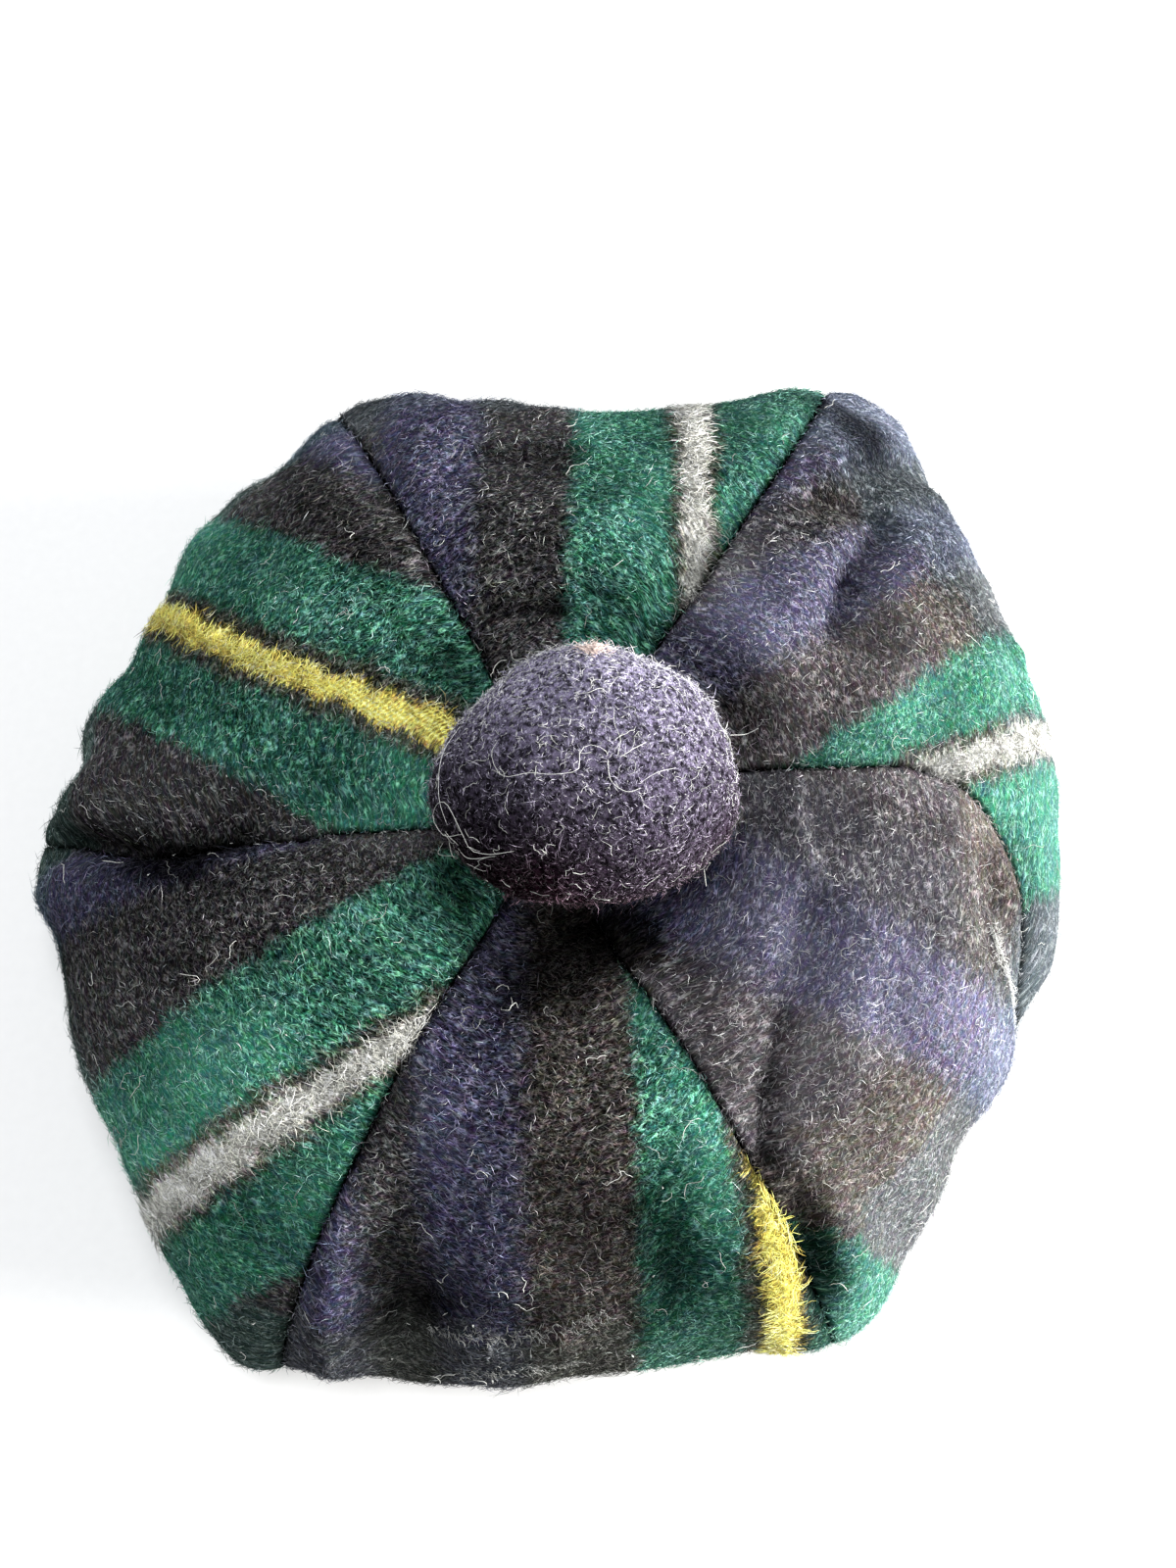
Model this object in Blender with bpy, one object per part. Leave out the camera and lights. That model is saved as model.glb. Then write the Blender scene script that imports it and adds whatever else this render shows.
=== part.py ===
"""A tam o shanter lying on a table: six wool gores round a felted pompom, on a plain head band.

+Z is up, +X and +Y are the right and the far side of the hat as it lies, and the origin is on the
table under its middle. Every table below is in millimetres and degrees, and a bearing runs
anticlockwise from +X. The crown is one surface, crown_point(bearing, station), from which each gore
takes the stretch between two seams.
"""

import math

import bmesh
import bpy
import numpy as np

MM = 0.001

# Driving sizes
CLOTH = 2.0  # thickness of the brushed wool
SEAM_GAP = 0.4  # left between two sewn edges
MEAN_REACH = 135.0  # from the apex to the crown's edge, on average
APEX = (0.4, -0.4)  # where the seams meet, from the middle of the hat
TIP_REACH = 3.2  # the gores' tips stop here, round the pompom's tie
BAND_INNER = 89.2  # a 56 cm head
BAND_WALL = 2.4
BAND_TOP = 24.0
POMPOM_REACH = 35.2  # at its widest
POMPOM_HALF_HEIGHT = 29.5
POMPOM_HEIGHT = 79.0  # of its middle
POMPOM_LEAN = (9.0, -1.0)  # how far its middle stands from the apex
LUMP = 0.02  # its uneven roundness, as a share of its reach

# The crown's edge seen from above, with each bulge and each place where it is drawn in
EDGE = (
    # name, bearing, reach
    ("right", 0, 130.0),
    ("right side", 18, 133.5),
    ("far right hollow", 34, 138.0),
    ("far right shoulder", 45, 150.5),
    ("far right lobe", 53, 159.0),
    ("far right turn", 60, 154.5),
    ("far right slope", 66, 133.0),
    ("far side slope", 74, 121.0),
    ("far hollow", 84, 110.5),
    ("far side", 98, 119.0),
    ("far left lobe", 116, 133.0),
    ("far left dip", 130, 124.5),
    ("far left side", 139, 127.0),
    ("left side", 148, 118.5),
    ("left hollow", 158, 115.5),
    ("left swell", 164, 118.0),
    ("left notch", 170, 122.0),
    ("left gather", 175, 119.5),
    ("left lobe", 182, 132.5),
    ("near left hollow", 196, 127.0),
    ("near left swell", 210, 129.0),
    ("near left dip", 220, 129.5),
    ("near left rise", 230, 139.0),
    ("near left lobe", 240, 148.5),
    ("near left turn", 250, 139.0),
    ("near side", 265, 132.5),
    ("near side flat", 280, 131.0),
    ("near right slope", 291, 135.0),
    ("near right lobe", 300, 143.0),
    ("near right turn", 310, 135.0),
    ("right hollow", 319, 126.5),
    ("right swell", 332, 129.0),
    ("right dip", 345, 130.5),
)

# The crown's section, from the apex over the edge and back under it to the head band
SECTION = (
    # name, share of the mean reach, height, share of the edge's waves that it follows
    ("apex", TIP_REACH / MEAN_REACH, 45.5, 0.0),
    ("dish", 0.13, 46.5, 0.0),
    ("rise", 0.30, 53.5, 0.1),
    ("crest", 0.50, 59.0, 0.3),
    ("crown", 0.68, 58.5, 0.6),
    ("brow", 0.82, 53.5, 0.8),
    ("fall", 0.92, 44.5, 0.95),
    ("side", 0.985, 32.0, 1.0),
    ("edge", 1.0, 21.0, 1.0),
    ("roll", 0.975, 10.5, 1.0),
    ("foot", 0.92, 4.5, 0.9),
    ("underside", 0.84, 5.0, 0.6),
    ("eave", 0.765, 12.0, 0.3),
    ("turn", 0.71, 21.5, 0.1),
    ("band seam", (BAND_INNER + 0.4) / MEAN_REACH, 26.6, 0.0),
)
EDGE_STATION = 8  # the row of SECTION where the crown is widest

# The six seams: their bearings at these rows of SECTION
SEAM_ROWS = (0, 2, 3, 4, 5, 6, 8, 14)
SEAMS = (
    # name, apex, rise, crest, crown, brow, fall, edge, band seam
    ("right seam", 14.0, 9.5, 5.6, 4.2, -3.0, -17.0, -25.0, -20.0),
    ("far right seam", 56.0, 55.4, 55.2, 55.8, 56.7, 58.2, 59.5, 60.0),
    ("far left seam", 109.0, 114.3, 116.4, 116.7, 117.3, 117.6, 117.8, 118.0),
    ("left seam", 199.0, 190.5, 188.0, 188.4, 186.7, 184.0, 181.5, 180.0),
    ("near left seam", 247.0, 244.5, 243.2, 243.7, 244.2, 244.4, 244.8, 245.0),
    ("near right seam", 287.0, 295.0, 298.2, 298.7, 298.7, 298.5, 298.3, 298.0),
)
GORES = ("far_right", "far", "far_left", "near_left", "near", "near_right")

# Folds pressed into the crown, each along a line in plan. A depth goes in, and one below zero stands
# out as a ridge
FOLDS = (
    # name, from x, from y, to x, to y, half width, depth
    ("left gather", -58.0, -8.0, -126.0, -10.0, 6.5, 8.5),
    ("left gather lip", -76.0, 5.0, -118.0, 8.0, 8.0, -2.5),
    ("near left hollow", -26.0, -90.0, -31.0, -120.0, 9.0, 5.0),
    ("near left ridge", -42.0, -90.0, -50.0, -126.0, 7.0, -3.0),
    ("near edge crease", -32.0, -119.0, 18.0, -117.0, 5.0, 1.8),
    ("near right hollow", 27.0, -82.0, 30.0, -108.0, 8.0, 3.0),
    ("near right valley", 60.0, -36.0, 49.0, -80.0, 9.0, 4.0),
    ("near right dent", 68.0, -78.0, 80.0, -98.0, 10.0, 3.0),
    ("right crease", 104.0, -28.0, 116.0, -52.0, 7.0, 2.5),
    ("far right hollow", 70.0, 77.0, 100.0, 82.0, 6.5, 4.0),
    ("far right upper hollow", 82.0, 86.0, 104.0, 99.0, 6.0, 3.5),
    ("far right dent", 72.0, 42.0, 80.0, 66.0, 9.0, 3.5),
    ("far side hollow", -23.0, 85.0, 10.0, 79.0, 8.0, 2.5),
    ("far side dent", -5.0, 46.0, 10.0, 46.0, 9.0, 3.0),
    ("far left dip", -72.0, 62.0, -96.0, 88.0, 9.0, 3.0),
    ("dent by the pompom", -8.0, -30.0, 28.0, -33.0, 10.0, 4.5),
)

PUFF = 4.0  # how far the middle of a gore stands above its seams
DROOP = 0.012  # share of its height that a bulge of the edge sags by, for each millimetre it reaches out
ACROSS = 12  # faces across a gore
ALONG = 28  # faces along a gore
BAND_SIDES = 72
POMPOM_SIDES = 36
POMPOM_RINGS = 16

# The pompom seen from above, as a share of its widest reach
POMPOM_EDGE = (
    # bearing, share
    (0, 0.96),
    (35, 0.94),
    (75, 0.89),
    (110, 0.85),
    (140, 0.83),
    (165, 0.93),
    (188, 1.0),
    (210, 0.96),
    (235, 0.87),
    (270, 0.83),
    (305, 0.90),
    (335, 0.98),
)
# The pompom's tie: it goes down between the gores' tips and ends in a knot under the cloth
TIE_RADIUS = 1.8
KNOT_RADIUS = 4.0
KNOT_DROP = 4.0


def through(keys, values, at, period=None):
    """A smooth curve through the given values: cubic pieces whose slopes are taken across each key."""
    keys = np.asarray(keys, float)
    values = np.asarray(values, float)
    at = np.asarray(at, float)
    if period:
        at = keys[0] + (at - keys[0]) % period
        keys = np.concatenate([keys[-2:] - period, keys, keys[:2] + period])
        values = np.concatenate([values[-2:], values, values[:2]])
    slopes = np.gradient(values, keys)
    i = np.clip(np.searchsorted(keys, at, side="right") - 1, 0, len(keys) - 2)
    step = keys[i + 1] - keys[i]
    t = (at - keys[i]) / step
    return (
        (1 + 2 * t) * (1 - t) ** 2 * values[i]
        + t * (1 - t) ** 2 * step * slopes[i]
        + t * t * (3 - 2 * t) * values[i + 1]
        - t * t * (1 - t) * step * slopes[i + 1]
    )


def column(table, n):
    return [row[n] for row in table]


def edge_reach(bearing):
    """How far the crown's edge is from the apex, in plan, at a bearing in degrees."""
    return through(column(EDGE, 1), column(EDGE, 2), bearing, period=360)


def section(station):
    """The crown's (share of reach, height, share of waves) at a station, counted in rows of SECTION."""
    rows = np.arange(len(SECTION))
    return [through(rows, column(SECTION, n), station) for n in (1, 2, 3)]


def seam_bearings(station):
    """The six seams' bearings at a station, as rows of an array, rising from one to the next."""
    return np.array([through(SEAM_ROWS, seam[1:], station) for seam in SEAMS])


def base_point(bearing, station):
    """The crown without its puffs and folds."""
    share, height, waves = section(station)
    bulge = edge_reach(bearing) - MEAN_REACH
    reach = share * (MEAN_REACH + waves * bulge)
    sag = DROOP * bulge * waves**2 * np.clip(station - 4, 0, 3) / 3
    angle = np.radians(bearing)
    return np.stack([reach * np.cos(angle), reach * np.sin(angle), height * (1 - sag)], -1)


def outward(bearing, station):
    """The base surface's unit normal, from steps along it and round it."""
    step = 0.01
    near, far = np.maximum(station - step, 0), np.minimum(station + step, len(SECTION) - 1)
    along = base_point(bearing, far) - base_point(bearing, near)
    round_it = base_point(bearing + step, station) - base_point(bearing - step, station)
    normal = np.cross(along, round_it)
    return normal / np.linalg.norm(normal, axis=-1, keepdims=True)


def puffed(across, station):
    """How far a gore stands up between its seams: a half sine across it, fading at the apex and the edge."""
    fade = through((0, 1, 3, 6, 8, 10, 14), (0, 0.15, 1, 0.8, 0.3, 0.1, 0), station)
    return PUFF * fade * np.sin(np.pi * np.clip(across, 0, 1)) ** 0.8


def folded(points, station):
    """How deep the folds press the cloth in: a bell across each fold, which fades past its two ends."""
    depth = np.zeros(points.shape[:-1])
    for _, x0, y0, x1, y1, half_width, fold_depth in FOLDS:
        start, way = np.array([x0, y0]), np.array([x1 - x0, y1 - y0])
        length = np.linalg.norm(way)
        offset = points[..., :2] - start
        along = offset @ way / length
        past_end = np.maximum(np.maximum(-along, along - length), 0)
        side = (offset[..., 0] * way[1] - offset[..., 1] * way[0]) / length
        depth += fold_depth * np.exp(-((side**2 + past_end**2) / half_width**2))
    return depth * np.clip((EDGE_STATION + 1 - station) / 2, 0, 1)


def crown_point(bearing, station, across):
    """A point of the crown's outer face. across is 0 and 1 at the gore's two seams."""
    base = base_point(bearing, station)
    out = puffed(across, station) - folded(base, station)
    return base + outward(bearing, station) * out[..., None]


def stations():
    """Where the rings of a gore lie, closer together where the section turns."""
    rows = len(SECTION) - 1
    evenly = np.linspace(0, rows, 8 * rows + 1)
    share, height, _ = section(evenly)
    lengths = np.hypot(np.diff(share * MEAN_REACH), np.diff(height))
    turns = np.abs(np.gradient(np.unwrap(np.arctan2(np.diff(height), np.diff(share * MEAN_REACH)))))
    run = np.concatenate([[0], np.cumsum(lengths + 18 * turns)])
    return np.interp(np.linspace(0, run[-1], ALONG + 1), run, evenly)


def new_material(name, colour, roughness):
    material = bpy.data.materials.new(name)
    material.use_nodes = True
    shader = material.node_tree.nodes["Principled BSDF"]
    shader.inputs["Base Color"].default_value = (*colour, 1)
    shader.inputs["Roughness"].default_value = roughness
    shader.inputs["Metallic"].default_value = 0
    return material


def add_object(name, bm, material, smooth_below=50):
    """An object from a bmesh whose points are in millimetres round the apex."""
    bmesh.ops.scale(bm, vec=(MM, MM, MM), verts=bm.verts)
    bmesh.ops.recalc_face_normals(bm, faces=bm.faces)
    mesh = bpy.data.meshes.new(name)
    bm.to_mesh(mesh)
    bm.free()
    mesh.materials.append(material)
    mesh.shade_smooth()
    mesh.set_sharp_from_angle(angle=math.radians(smooth_below))
    thing = bpy.data.objects.new(name, mesh)
    thing.location = (APEX[0] * MM, APEX[1] * MM, 0)
    bpy.context.collection.objects.link(thing)
    return thing


def add_gore(index, material):
    """One wedge of cloth: a flat grid, extruded once for its inner face, and laid on the crown."""
    bm = bmesh.new()
    bmesh.ops.create_grid(bm, x_segments=ACROSS, y_segments=ALONG, size=0.5)
    grown = bmesh.ops.extrude_face_region(bm, geom=bm.faces[:], use_keep_orig=True)["geom"]
    inner_verts = {v for v in grown if isinstance(v, bmesh.types.BMVert)}
    depth = np.array([CLOTH if v in inner_verts else 0.0 for v in bm.verts])
    flat = np.array([v.co for v in bm.verts])
    across = 0.5 + flat[:, 0]
    station = np.interp((0.5 + flat[:, 1]) * ALONG, np.arange(ALONG + 1), stations())
    bearings = seam_bearings(station)
    first, last = bearings[index], bearings[(index + 1) % len(SEAMS)]
    last = first + (last - first) % 360
    trim = np.degrees(SEAM_GAP / 2 / (section(station)[0] * MEAN_REACH))
    bearing = first + trim + across * (last - first - 2 * trim)
    points = crown_point(bearing, station, across)
    points -= outward(first + across * (last - first), station) * depth[:, None]
    for v, point in zip(bm.verts, points):
        v.co = point
    return add_object(f"gore_{GORES[index]}", bm, material)


def spun(profile, sides, closed):
    """A turned shape: a profile of (reach, height) points, carried round the upright axis."""
    bm = bmesh.new()
    verts = [bm.verts.new((reach, 0, height)) for reach, height in profile]
    pairs = list(zip(verts, verts[1:] + verts[:1])) if closed else list(zip(verts, verts[1:]))
    edges = [bm.edges.new(pair) for pair in pairs]
    bmesh.ops.spin(
        bm, geom=verts + edges, cent=(0, 0, 0), axis=(0, 0, 1), angle=2 * math.pi, steps=sides
    )
    bmesh.ops.remove_doubles(bm, verts=bm.verts, dist=0.001)
    return bm


def pompom_profile():
    """The ball from its top to its underside, then the tie, and the knot under the cloth."""
    ball_low = POMPOM_HEIGHT - POMPOM_HALF_HEIGHT
    cloth_top = SECTION[0][2]
    knot_top = cloth_top - CLOTH - SEAM_GAP
    latitudes = np.radians(np.linspace(90, -74, POMPOM_RINGS))
    profile = [
        (POMPOM_REACH * max(math.cos(a), 0) ** 0.94, POMPOM_HEIGHT + POMPOM_HALF_HEIGHT * math.sin(a))
        for a in latitudes
    ]
    profile += [(1.4 * TIE_RADIUS, ball_low), (TIE_RADIUS, cloth_top), (TIE_RADIUS, knot_top)]
    for reach, drop in ((0.85, 0.1), (1.0, 0.5), (0.6, 0.9), (0.0, 1.0)):
        profile.append((reach * KNOT_RADIUS, knot_top - drop * KNOT_DROP))
    return profile


def add_pompom(material):
    """The felted ball, a little flat and leaning, in one piece with its tie and knot."""
    bm = spun(pompom_profile(), POMPOM_SIDES, closed=False)
    ball_low = POMPOM_HEIGHT - POMPOM_HALF_HEIGHT
    for v in bm.verts:
        bearing = math.degrees(math.atan2(v.co.y, v.co.x))
        rise = (v.co.z - ball_low) / (0.2 * POMPOM_HALF_HEIGHT)
        on_ball = min(max(rise, 0), 1)
        share = float(through(column(POMPOM_EDGE, 0), column(POMPOM_EDGE, 1), bearing, period=360))
        lump = LUMP * math.sin(math.radians(3 * bearing) + 0.09 * v.co.z)
        shape = 1 + on_ball * (share * (1 + lump) - 1)
        v.co.x = v.co.x * shape + on_ball * POMPOM_LEAN[0]
        v.co.y = v.co.y * shape + on_ball * POMPOM_LEAN[1]
    return add_object("pompom", bm, material)


def add_head_band(material):
    """A plain ring of doubled cloth that stands on the table, with softened edges and a flat foot."""
    outer, soft = BAND_INNER + BAND_WALL, 0.6
    profile = (
        (BAND_INNER + soft, 0.0),
        (outer - soft, 0.0),
        (outer, soft),
        (outer, BAND_TOP - soft),
        (outer - soft, BAND_TOP),
        (BAND_INNER + soft, BAND_TOP),
        (BAND_INNER, BAND_TOP - soft),
        (BAND_INNER, soft),
    )
    return add_object("head_band", spun(profile, BAND_SIDES, closed=True), material)


def main():
    for thing in list(bpy.data.objects):
        bpy.data.objects.remove(thing)
    tartan = new_material("tartan_wool", (0.06, 0.11, 0.10), 0.95)
    felt = new_material("navy_felt", (0.13, 0.11, 0.18), 0.95)
    plain = new_material("dark_wool", (0.03, 0.03, 0.045), 0.95)
    for index in range(len(SEAMS)):
        add_gore(index, tartan)
    add_pompom(felt)
    add_head_band(plain)


main()
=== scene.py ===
# %% [markdown]
# # A tam o shanter in brushed tartan wool
#
# A tam is a wide, soft cap. Six wedges of cloth, the gores, meet at a felted pompom, puff out past the
# head, and come back underneath to a plain head band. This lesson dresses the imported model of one: its
# solids already have the right size and place, so every piece here is laid on the same curves and only
# adds what a solid leaves out, which is rolled seams, small creases, tartan, nap and stray fibres.

# %% Load the frame
from collections import namedtuple

import bpy
import numpy as np
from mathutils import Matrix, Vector


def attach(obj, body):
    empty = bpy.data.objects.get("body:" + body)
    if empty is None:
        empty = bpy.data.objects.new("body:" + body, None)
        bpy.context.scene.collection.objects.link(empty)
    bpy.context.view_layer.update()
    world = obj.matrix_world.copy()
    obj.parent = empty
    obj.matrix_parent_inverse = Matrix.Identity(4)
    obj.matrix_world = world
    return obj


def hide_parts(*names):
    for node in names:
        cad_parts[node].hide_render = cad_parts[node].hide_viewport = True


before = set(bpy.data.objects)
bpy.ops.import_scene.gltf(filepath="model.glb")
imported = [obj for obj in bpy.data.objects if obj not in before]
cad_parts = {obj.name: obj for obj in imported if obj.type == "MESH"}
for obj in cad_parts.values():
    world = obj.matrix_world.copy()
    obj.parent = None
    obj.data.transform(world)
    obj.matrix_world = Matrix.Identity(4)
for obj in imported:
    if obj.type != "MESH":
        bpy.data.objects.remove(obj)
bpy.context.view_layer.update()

MM = 0.001

# %% [markdown]
# ## The driving sizes
#
# The crown is one surface. A bearing says which way a point lies from the apex, in degrees
# anticlockwise from +X, and a station says how far along the section it is, from the apex over the edge
# to the head band. The same few sizes and tables as in the solids' own source give it, in millimetres.
#
# The reaches in EDGE weren't chosen by hand. Another script fitted them to the photograph's outline, and
# they were rounded to half a millimetre. All but the one at bearing 240 are still the fitted numbers.

# %% Driving sizes, in millimetres and degrees
CLOTH = 2.0  # how thick the wool is
LEAST_CLOTH = 0.9  # the same where a crease or seam thins it
SEAM_GAP = 0.4
MEAN_REACH = 135.0  # from the apex to the crown's edge
APEX = (0.4, -0.4)  # where the gores meet, in plan
TIP_REACH = 3.2  # how far from the apex their tips end
BAND_INNER = 89.2
BAND_WALL = 2.4
BAND_TOP = 24.0
PUFF = 4.0  # how far a gore stands up between its seams
DROOP = 0.012  # how much lower the crown sags for each millimetre that its edge bulges

EDGE = (
    # bearing, reach of the crown's edge
    (0, 130), (18, 133.5), (34, 138), (45, 150.5), (53, 159), (60, 154.5), (66, 133), (74, 121),
    (84, 110.5), (98, 119), (116, 133), (130, 124.5), (139, 127), (148, 118.5), (158, 115.5),
    (164, 118), (170, 122), (175, 119.5), (182, 132.5), (196, 127), (210, 129), (220, 129.5),
    (230, 139), (240, 148.5), (250, 139), (265, 132.5), (280, 131), (291, 135), (300, 143), (310, 135),
    (319, 126.5), (332, 129), (345, 130.5),
)
SECTION = (
    # share of the mean reach, height, share of the edge's waves that it follows
    (TIP_REACH / MEAN_REACH, 45.5, 0), (0.13, 46.5, 0), (0.30, 53.5, 0.1), (0.50, 59, 0.3),
    (0.68, 58.5, 0.6), (0.82, 53.5, 0.8), (0.92, 44.5, 0.95), (0.985, 32, 1), (1, 21, 1),
    (0.975, 10.5, 1), (0.92, 4.5, 0.9), (0.84, 5, 0.6), (0.765, 12, 0.3), (0.71, 21.5, 0.1),
    ((BAND_INNER + 0.4) / MEAN_REACH, 26.6, 0),
)
EDGE_STATION = 8
LAST_STATION = len(SECTION) - 1
SEAM_ROWS = (0, 2, 3, 4, 5, 6, 8, 14)
SEAMS = (
    # bearings at those rows of SECTION: right, far right, far left, left, near left, near right
    (14, 9.5, 5.6, 4.2, -3, -17, -25, -20),
    (56, 55.4, 55.2, 55.8, 56.7, 58.2, 59.5, 60),
    (109, 114.3, 116.4, 116.7, 117.3, 117.6, 117.8, 118),
    (199, 190.5, 188, 188.4, 186.7, 184, 181.5, 180),
    (247, 244.5, 243.2, 243.7, 244.2, 244.4, 244.8, 245),
    (287, 295, 298.2, 298.7, 298.7, 298.5, 298.3, 298),
)
print(len(SEAMS), "gores round an edge that reaches", EDGE[4][1], "mm at its widest lobe")

# %% [markdown]
# ## Folds
#
# Soft cloth that lies on a table is never a clean dome. Each broad fold is a line in plan with a bell
# across it: a positive depth presses the cloth in, and one below zero raises a ridge. The first table is
# the solids' own. The second adds the small creases, which only show in the finished cloth. The third
# has the same form, and says where the wool is painted paler or darker. Its rows were written while
# comparing the brightness of renders with the photograph's. So they stand for wear and for how the nap
# lies, but also for painted light and shade that the lamps below don't give.

# %% Fold tables, in millimetres
FOLDS = (
    # from x, from y, to x, to y, half width, depth
    (-58, -8, -126, -10, 6.5, 8.5), (-76, 5, -118, 8, 8, -2.5), (-26, -90, -31, -120, 9, 5),
    (-42, -90, -50, -126, 7, -3), (-32, -119, 18, -117, 5, 1.8), (27, -82, 30, -108, 8, 3),
    (60, -36, 49, -80, 9, 4), (68, -78, 80, -98, 10, 3), (104, -28, 116, -52, 7, 2.5),
    (70, 77, 100, 82, 6.5, 4), (82, 86, 104, 99, 6, 3.5), (72, 42, 80, 66, 9, 3.5),
    (-23, 85, 10, 79, 8, 2.5), (-5, 46, 10, 46, 9, 3), (-72, 62, -96, 88, 9, 3),
    (-8, -30, 28, -33, 10, 4.5),
)
CREASES = (
    # from x, from y, to x, to y, half width, depth
    (79, 92, 99, 101, 2.6, 1.8), (69.7, 81, 86, 76.5, 2.8, 1.6), (87, 73.5, 75, 55, 4.2, 2.6),
    (75, 55, 69.8, 41.3, 3.4, 1.8), (119.4, 42.7, 116.8, 21.8, 1.6, -1.3), (122, 40, 122, 23, 2.2, 1),
    (46, 29, 48, 15.6, 6, 3), (63, -28.6, 62.3, -46, 5, 2.6), (55, -53, 51, -68, 2.6, 2.4),
    (51, -68, 50.6, -83, 2.4, 3.8), (58.4, 4, 60.6, -17, 2.4, -1.6), (57, -93, 61, -112, 4.5, 3),
    (104, -29.7, 110, -53.5, 1.8, -1.4), (103.4, -16.7, 104.7, -24.2, 3.5, 1.6),
    (-26, -119.2, -11.6, -120.9, 1.5, -1.6), (-11.6, -120.9, 3.8, -119.1, 1.5, -1.6),
    (3.8, -119.1, 14, -115.8, 1.5, -1.3), (-32, -113.5, 16, -112.5, 3.5, 1.2),
    (-36, -107, -21, -110, 8, 2), (-46, -99, -48, -121, 5, -2.6), (22, -88.9, 28.9, -104.8, 8, 2.2),
    (-121, -6, -108, -11, 3.2, 4.2), (-108, -11.5, -88, -15, 3.2, 3.8), (-88, -15, -72, -10, 2.4, 2.2),
    (-15, 49.3, 2, 49.3, 2.6, 2.6), (9.5, 53.7, 20, 46, 2.2, 1.3), (-18, 90.6, 6, 88.6, 2.6, 2.2),
    (-70, 40, -84, 52, 6, 1.2), (-88, 20, -104, 34, 5, 1.2), (-66, -50, -92, -62, 7, 1.4),
)
WEAR_AND_PAINTED_LIGHT = (
    # from x, from y, to x, to y, half width, how much paler the wool is painted, or darker below zero;
    # the rows paint wear, and also light and shade that the lamps don't give
    # round the pompom: mostly painted shade, where the ball shades the cloth
    (0, -38, 9, -39, 8, -0.92), (-4, -49, 6, -49, 6.5, -0.6), (-14, -38, -11, -46, 7, -0.55),
    (9, -31, 23, -31, 6, -0.8), (17, -29, 21, -36, 5, -0.65), (36, -20, 52, -10, 8, -0.3),
    (28, -38, 34, -40, 6, -0.3), (50, -40, 50, -46, 5, -0.22), (33, 40, 42, 24, 6.5, -0.45),
    (-28, -26, -20, -31, 7, -0.55), (-27, -14, -19, -23, 5, -0.65), (-13, 39, -7, 39, 5, -0.3),
    (-25, 37, -21, 31, 9, -0.74), (-36, 14, -34, 2, 7, 0.6),
    # far left
    (-57, 76, -40, 54, 8, -0.6), (-39, 44, -34, 34, 6, -0.3), (-90, 72, -76, 83, 6, 0.8),
    (-86, 46, -64, 36, 5, -0.35), (-56, 36, -40, 28, 5, -0.3), (-95, 16, -93, 20, 8, -0.48),
    (-78, 22, -74, 18, 5, -0.3), (-100, 60, -66, 44, 6, 0.3), (-104, 10, -88, 12, 10, 0.45),
    (-106, -1, -62, -1, 5, 0.45), (-52, 26, -38.4, 22.4, 4, 0.3),
    # painted shade in the crease on the left
    (-122, -5, -118, -8, 5, -0.45), (-100, -15, -82, -19, 5, -0.82), (-92, -13, -74, -11, 4.5, -0.8),
    # near left
    (-60, -7, -30, -10, 5, 0.95), (-104, -24, -90, -24, 7, -0.3), (-119, -30, -117, -42, 7, -0.5),
    (-80, -40, -70, -40, 6, -0.35), (-62, -38, -46, -48, 7, -0.4), (-36, -42, -32, -50, 7, -0.3),
    (-84, -58, -72, -72, 9, 0.9), (-74, -58, -64, -56, 8, 0.8), (-84, -82, -78, -84, 7, 1.0),
    (-54, -91, -47, -91, 6, 0.45), (-102, -66, -90, -84, 8, 0.55), (-73, -88, -66, -94, 7, -0.3),
    # near
    (-38, -118, -24, -118, 5, -0.6), (-44, -102, -46, -114, 6, -0.25),
    (-26, -114.5, 0, -114.5, 5, -0.42), (-25, -126, 10, -125, 5, -0.15),
    (-12, -106, -4, -107, 7, -0.25), (-2, -58, 2, -92, 8, -0.28), (13, -64, 15, -112, 6, -0.2),
    (5, -107, 6, -109, 5, 0.3), (-29, -66, -22, -80, 8, 0.5), (22, -94, 28, -112, 8, -0.78),
    (35, -80, 38, -94, 6.5, 1.0), (19, -46, 23, -54, 5, 0.6), (31, -64, 32, -70, 6, 0.3),
    # near right
    (62, -34, 69, -58, 9, 0.9), (58, -62, 56, -74, 6, 0.4), (50, -88, 60, -102, 9, -0.62),
    (66, -66, 74, -66, 7, -0.32), (28, -48, 38, -56, 7, -0.2), (84, -38, 88, -50, 7, 0.35),
    (78, -4, 92, -6, 5, -0.25), (54, -16, 68, -4, 6, 0.25), (97, 0, 101, -4, 6, 0.35),
    (78, -20, 88, -21, 6, 0.25), (76, -78, 78, -86, 8, 0.4), (96, -70, 88, -86, 8, -0.2),
    (99, -50, 102, -57, 7, 0.25), (61, -105, 64, -110, 7, -0.6),
    # far
    (-15, 49.3, 3, 49.3, 3.6, -0.6), (-18, 90.6, 6, 88.6, 3, -0.35), (-13, 94, 5, 96, 8, 0.8),
    (-12, 84, 2, 78, 6, 0.3), (-50, 95, -46, 84, 7, 0.35), (34, 50, 44, 54, 6, 0.35),
    (-54, 102, -44, 100, 7, 0.5), (24, 70, 26, 80, 8, 0.6), (46, 74, 48, 58, 6, 0.4),
    (45, 96, 45, 86, 5, -0.25), (56, 106, 58, 100, 6, 0.4), (41, 66, 54, 34, 5.5, 0.6),
    # far right
    (66, 72, 72, 80, 12, -0.62), (86, 96, 99, 90, 13, -0.62), (75, 114, 82, 106, 9, -0.75),
    (99, 70, 115, 45, 7, -0.42), (93, 58, 104, 44, 8, -0.45), (106, 26, 110, 18, 6, -0.15),
    (84, 60, 85, 50, 5, 0.35), (72, 26, 70, 20, 7, -0.2), (92, 26, 90, 22, 7, 0.35),
    (114, -14, 114, -24, 7, -0.4),
)
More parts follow.
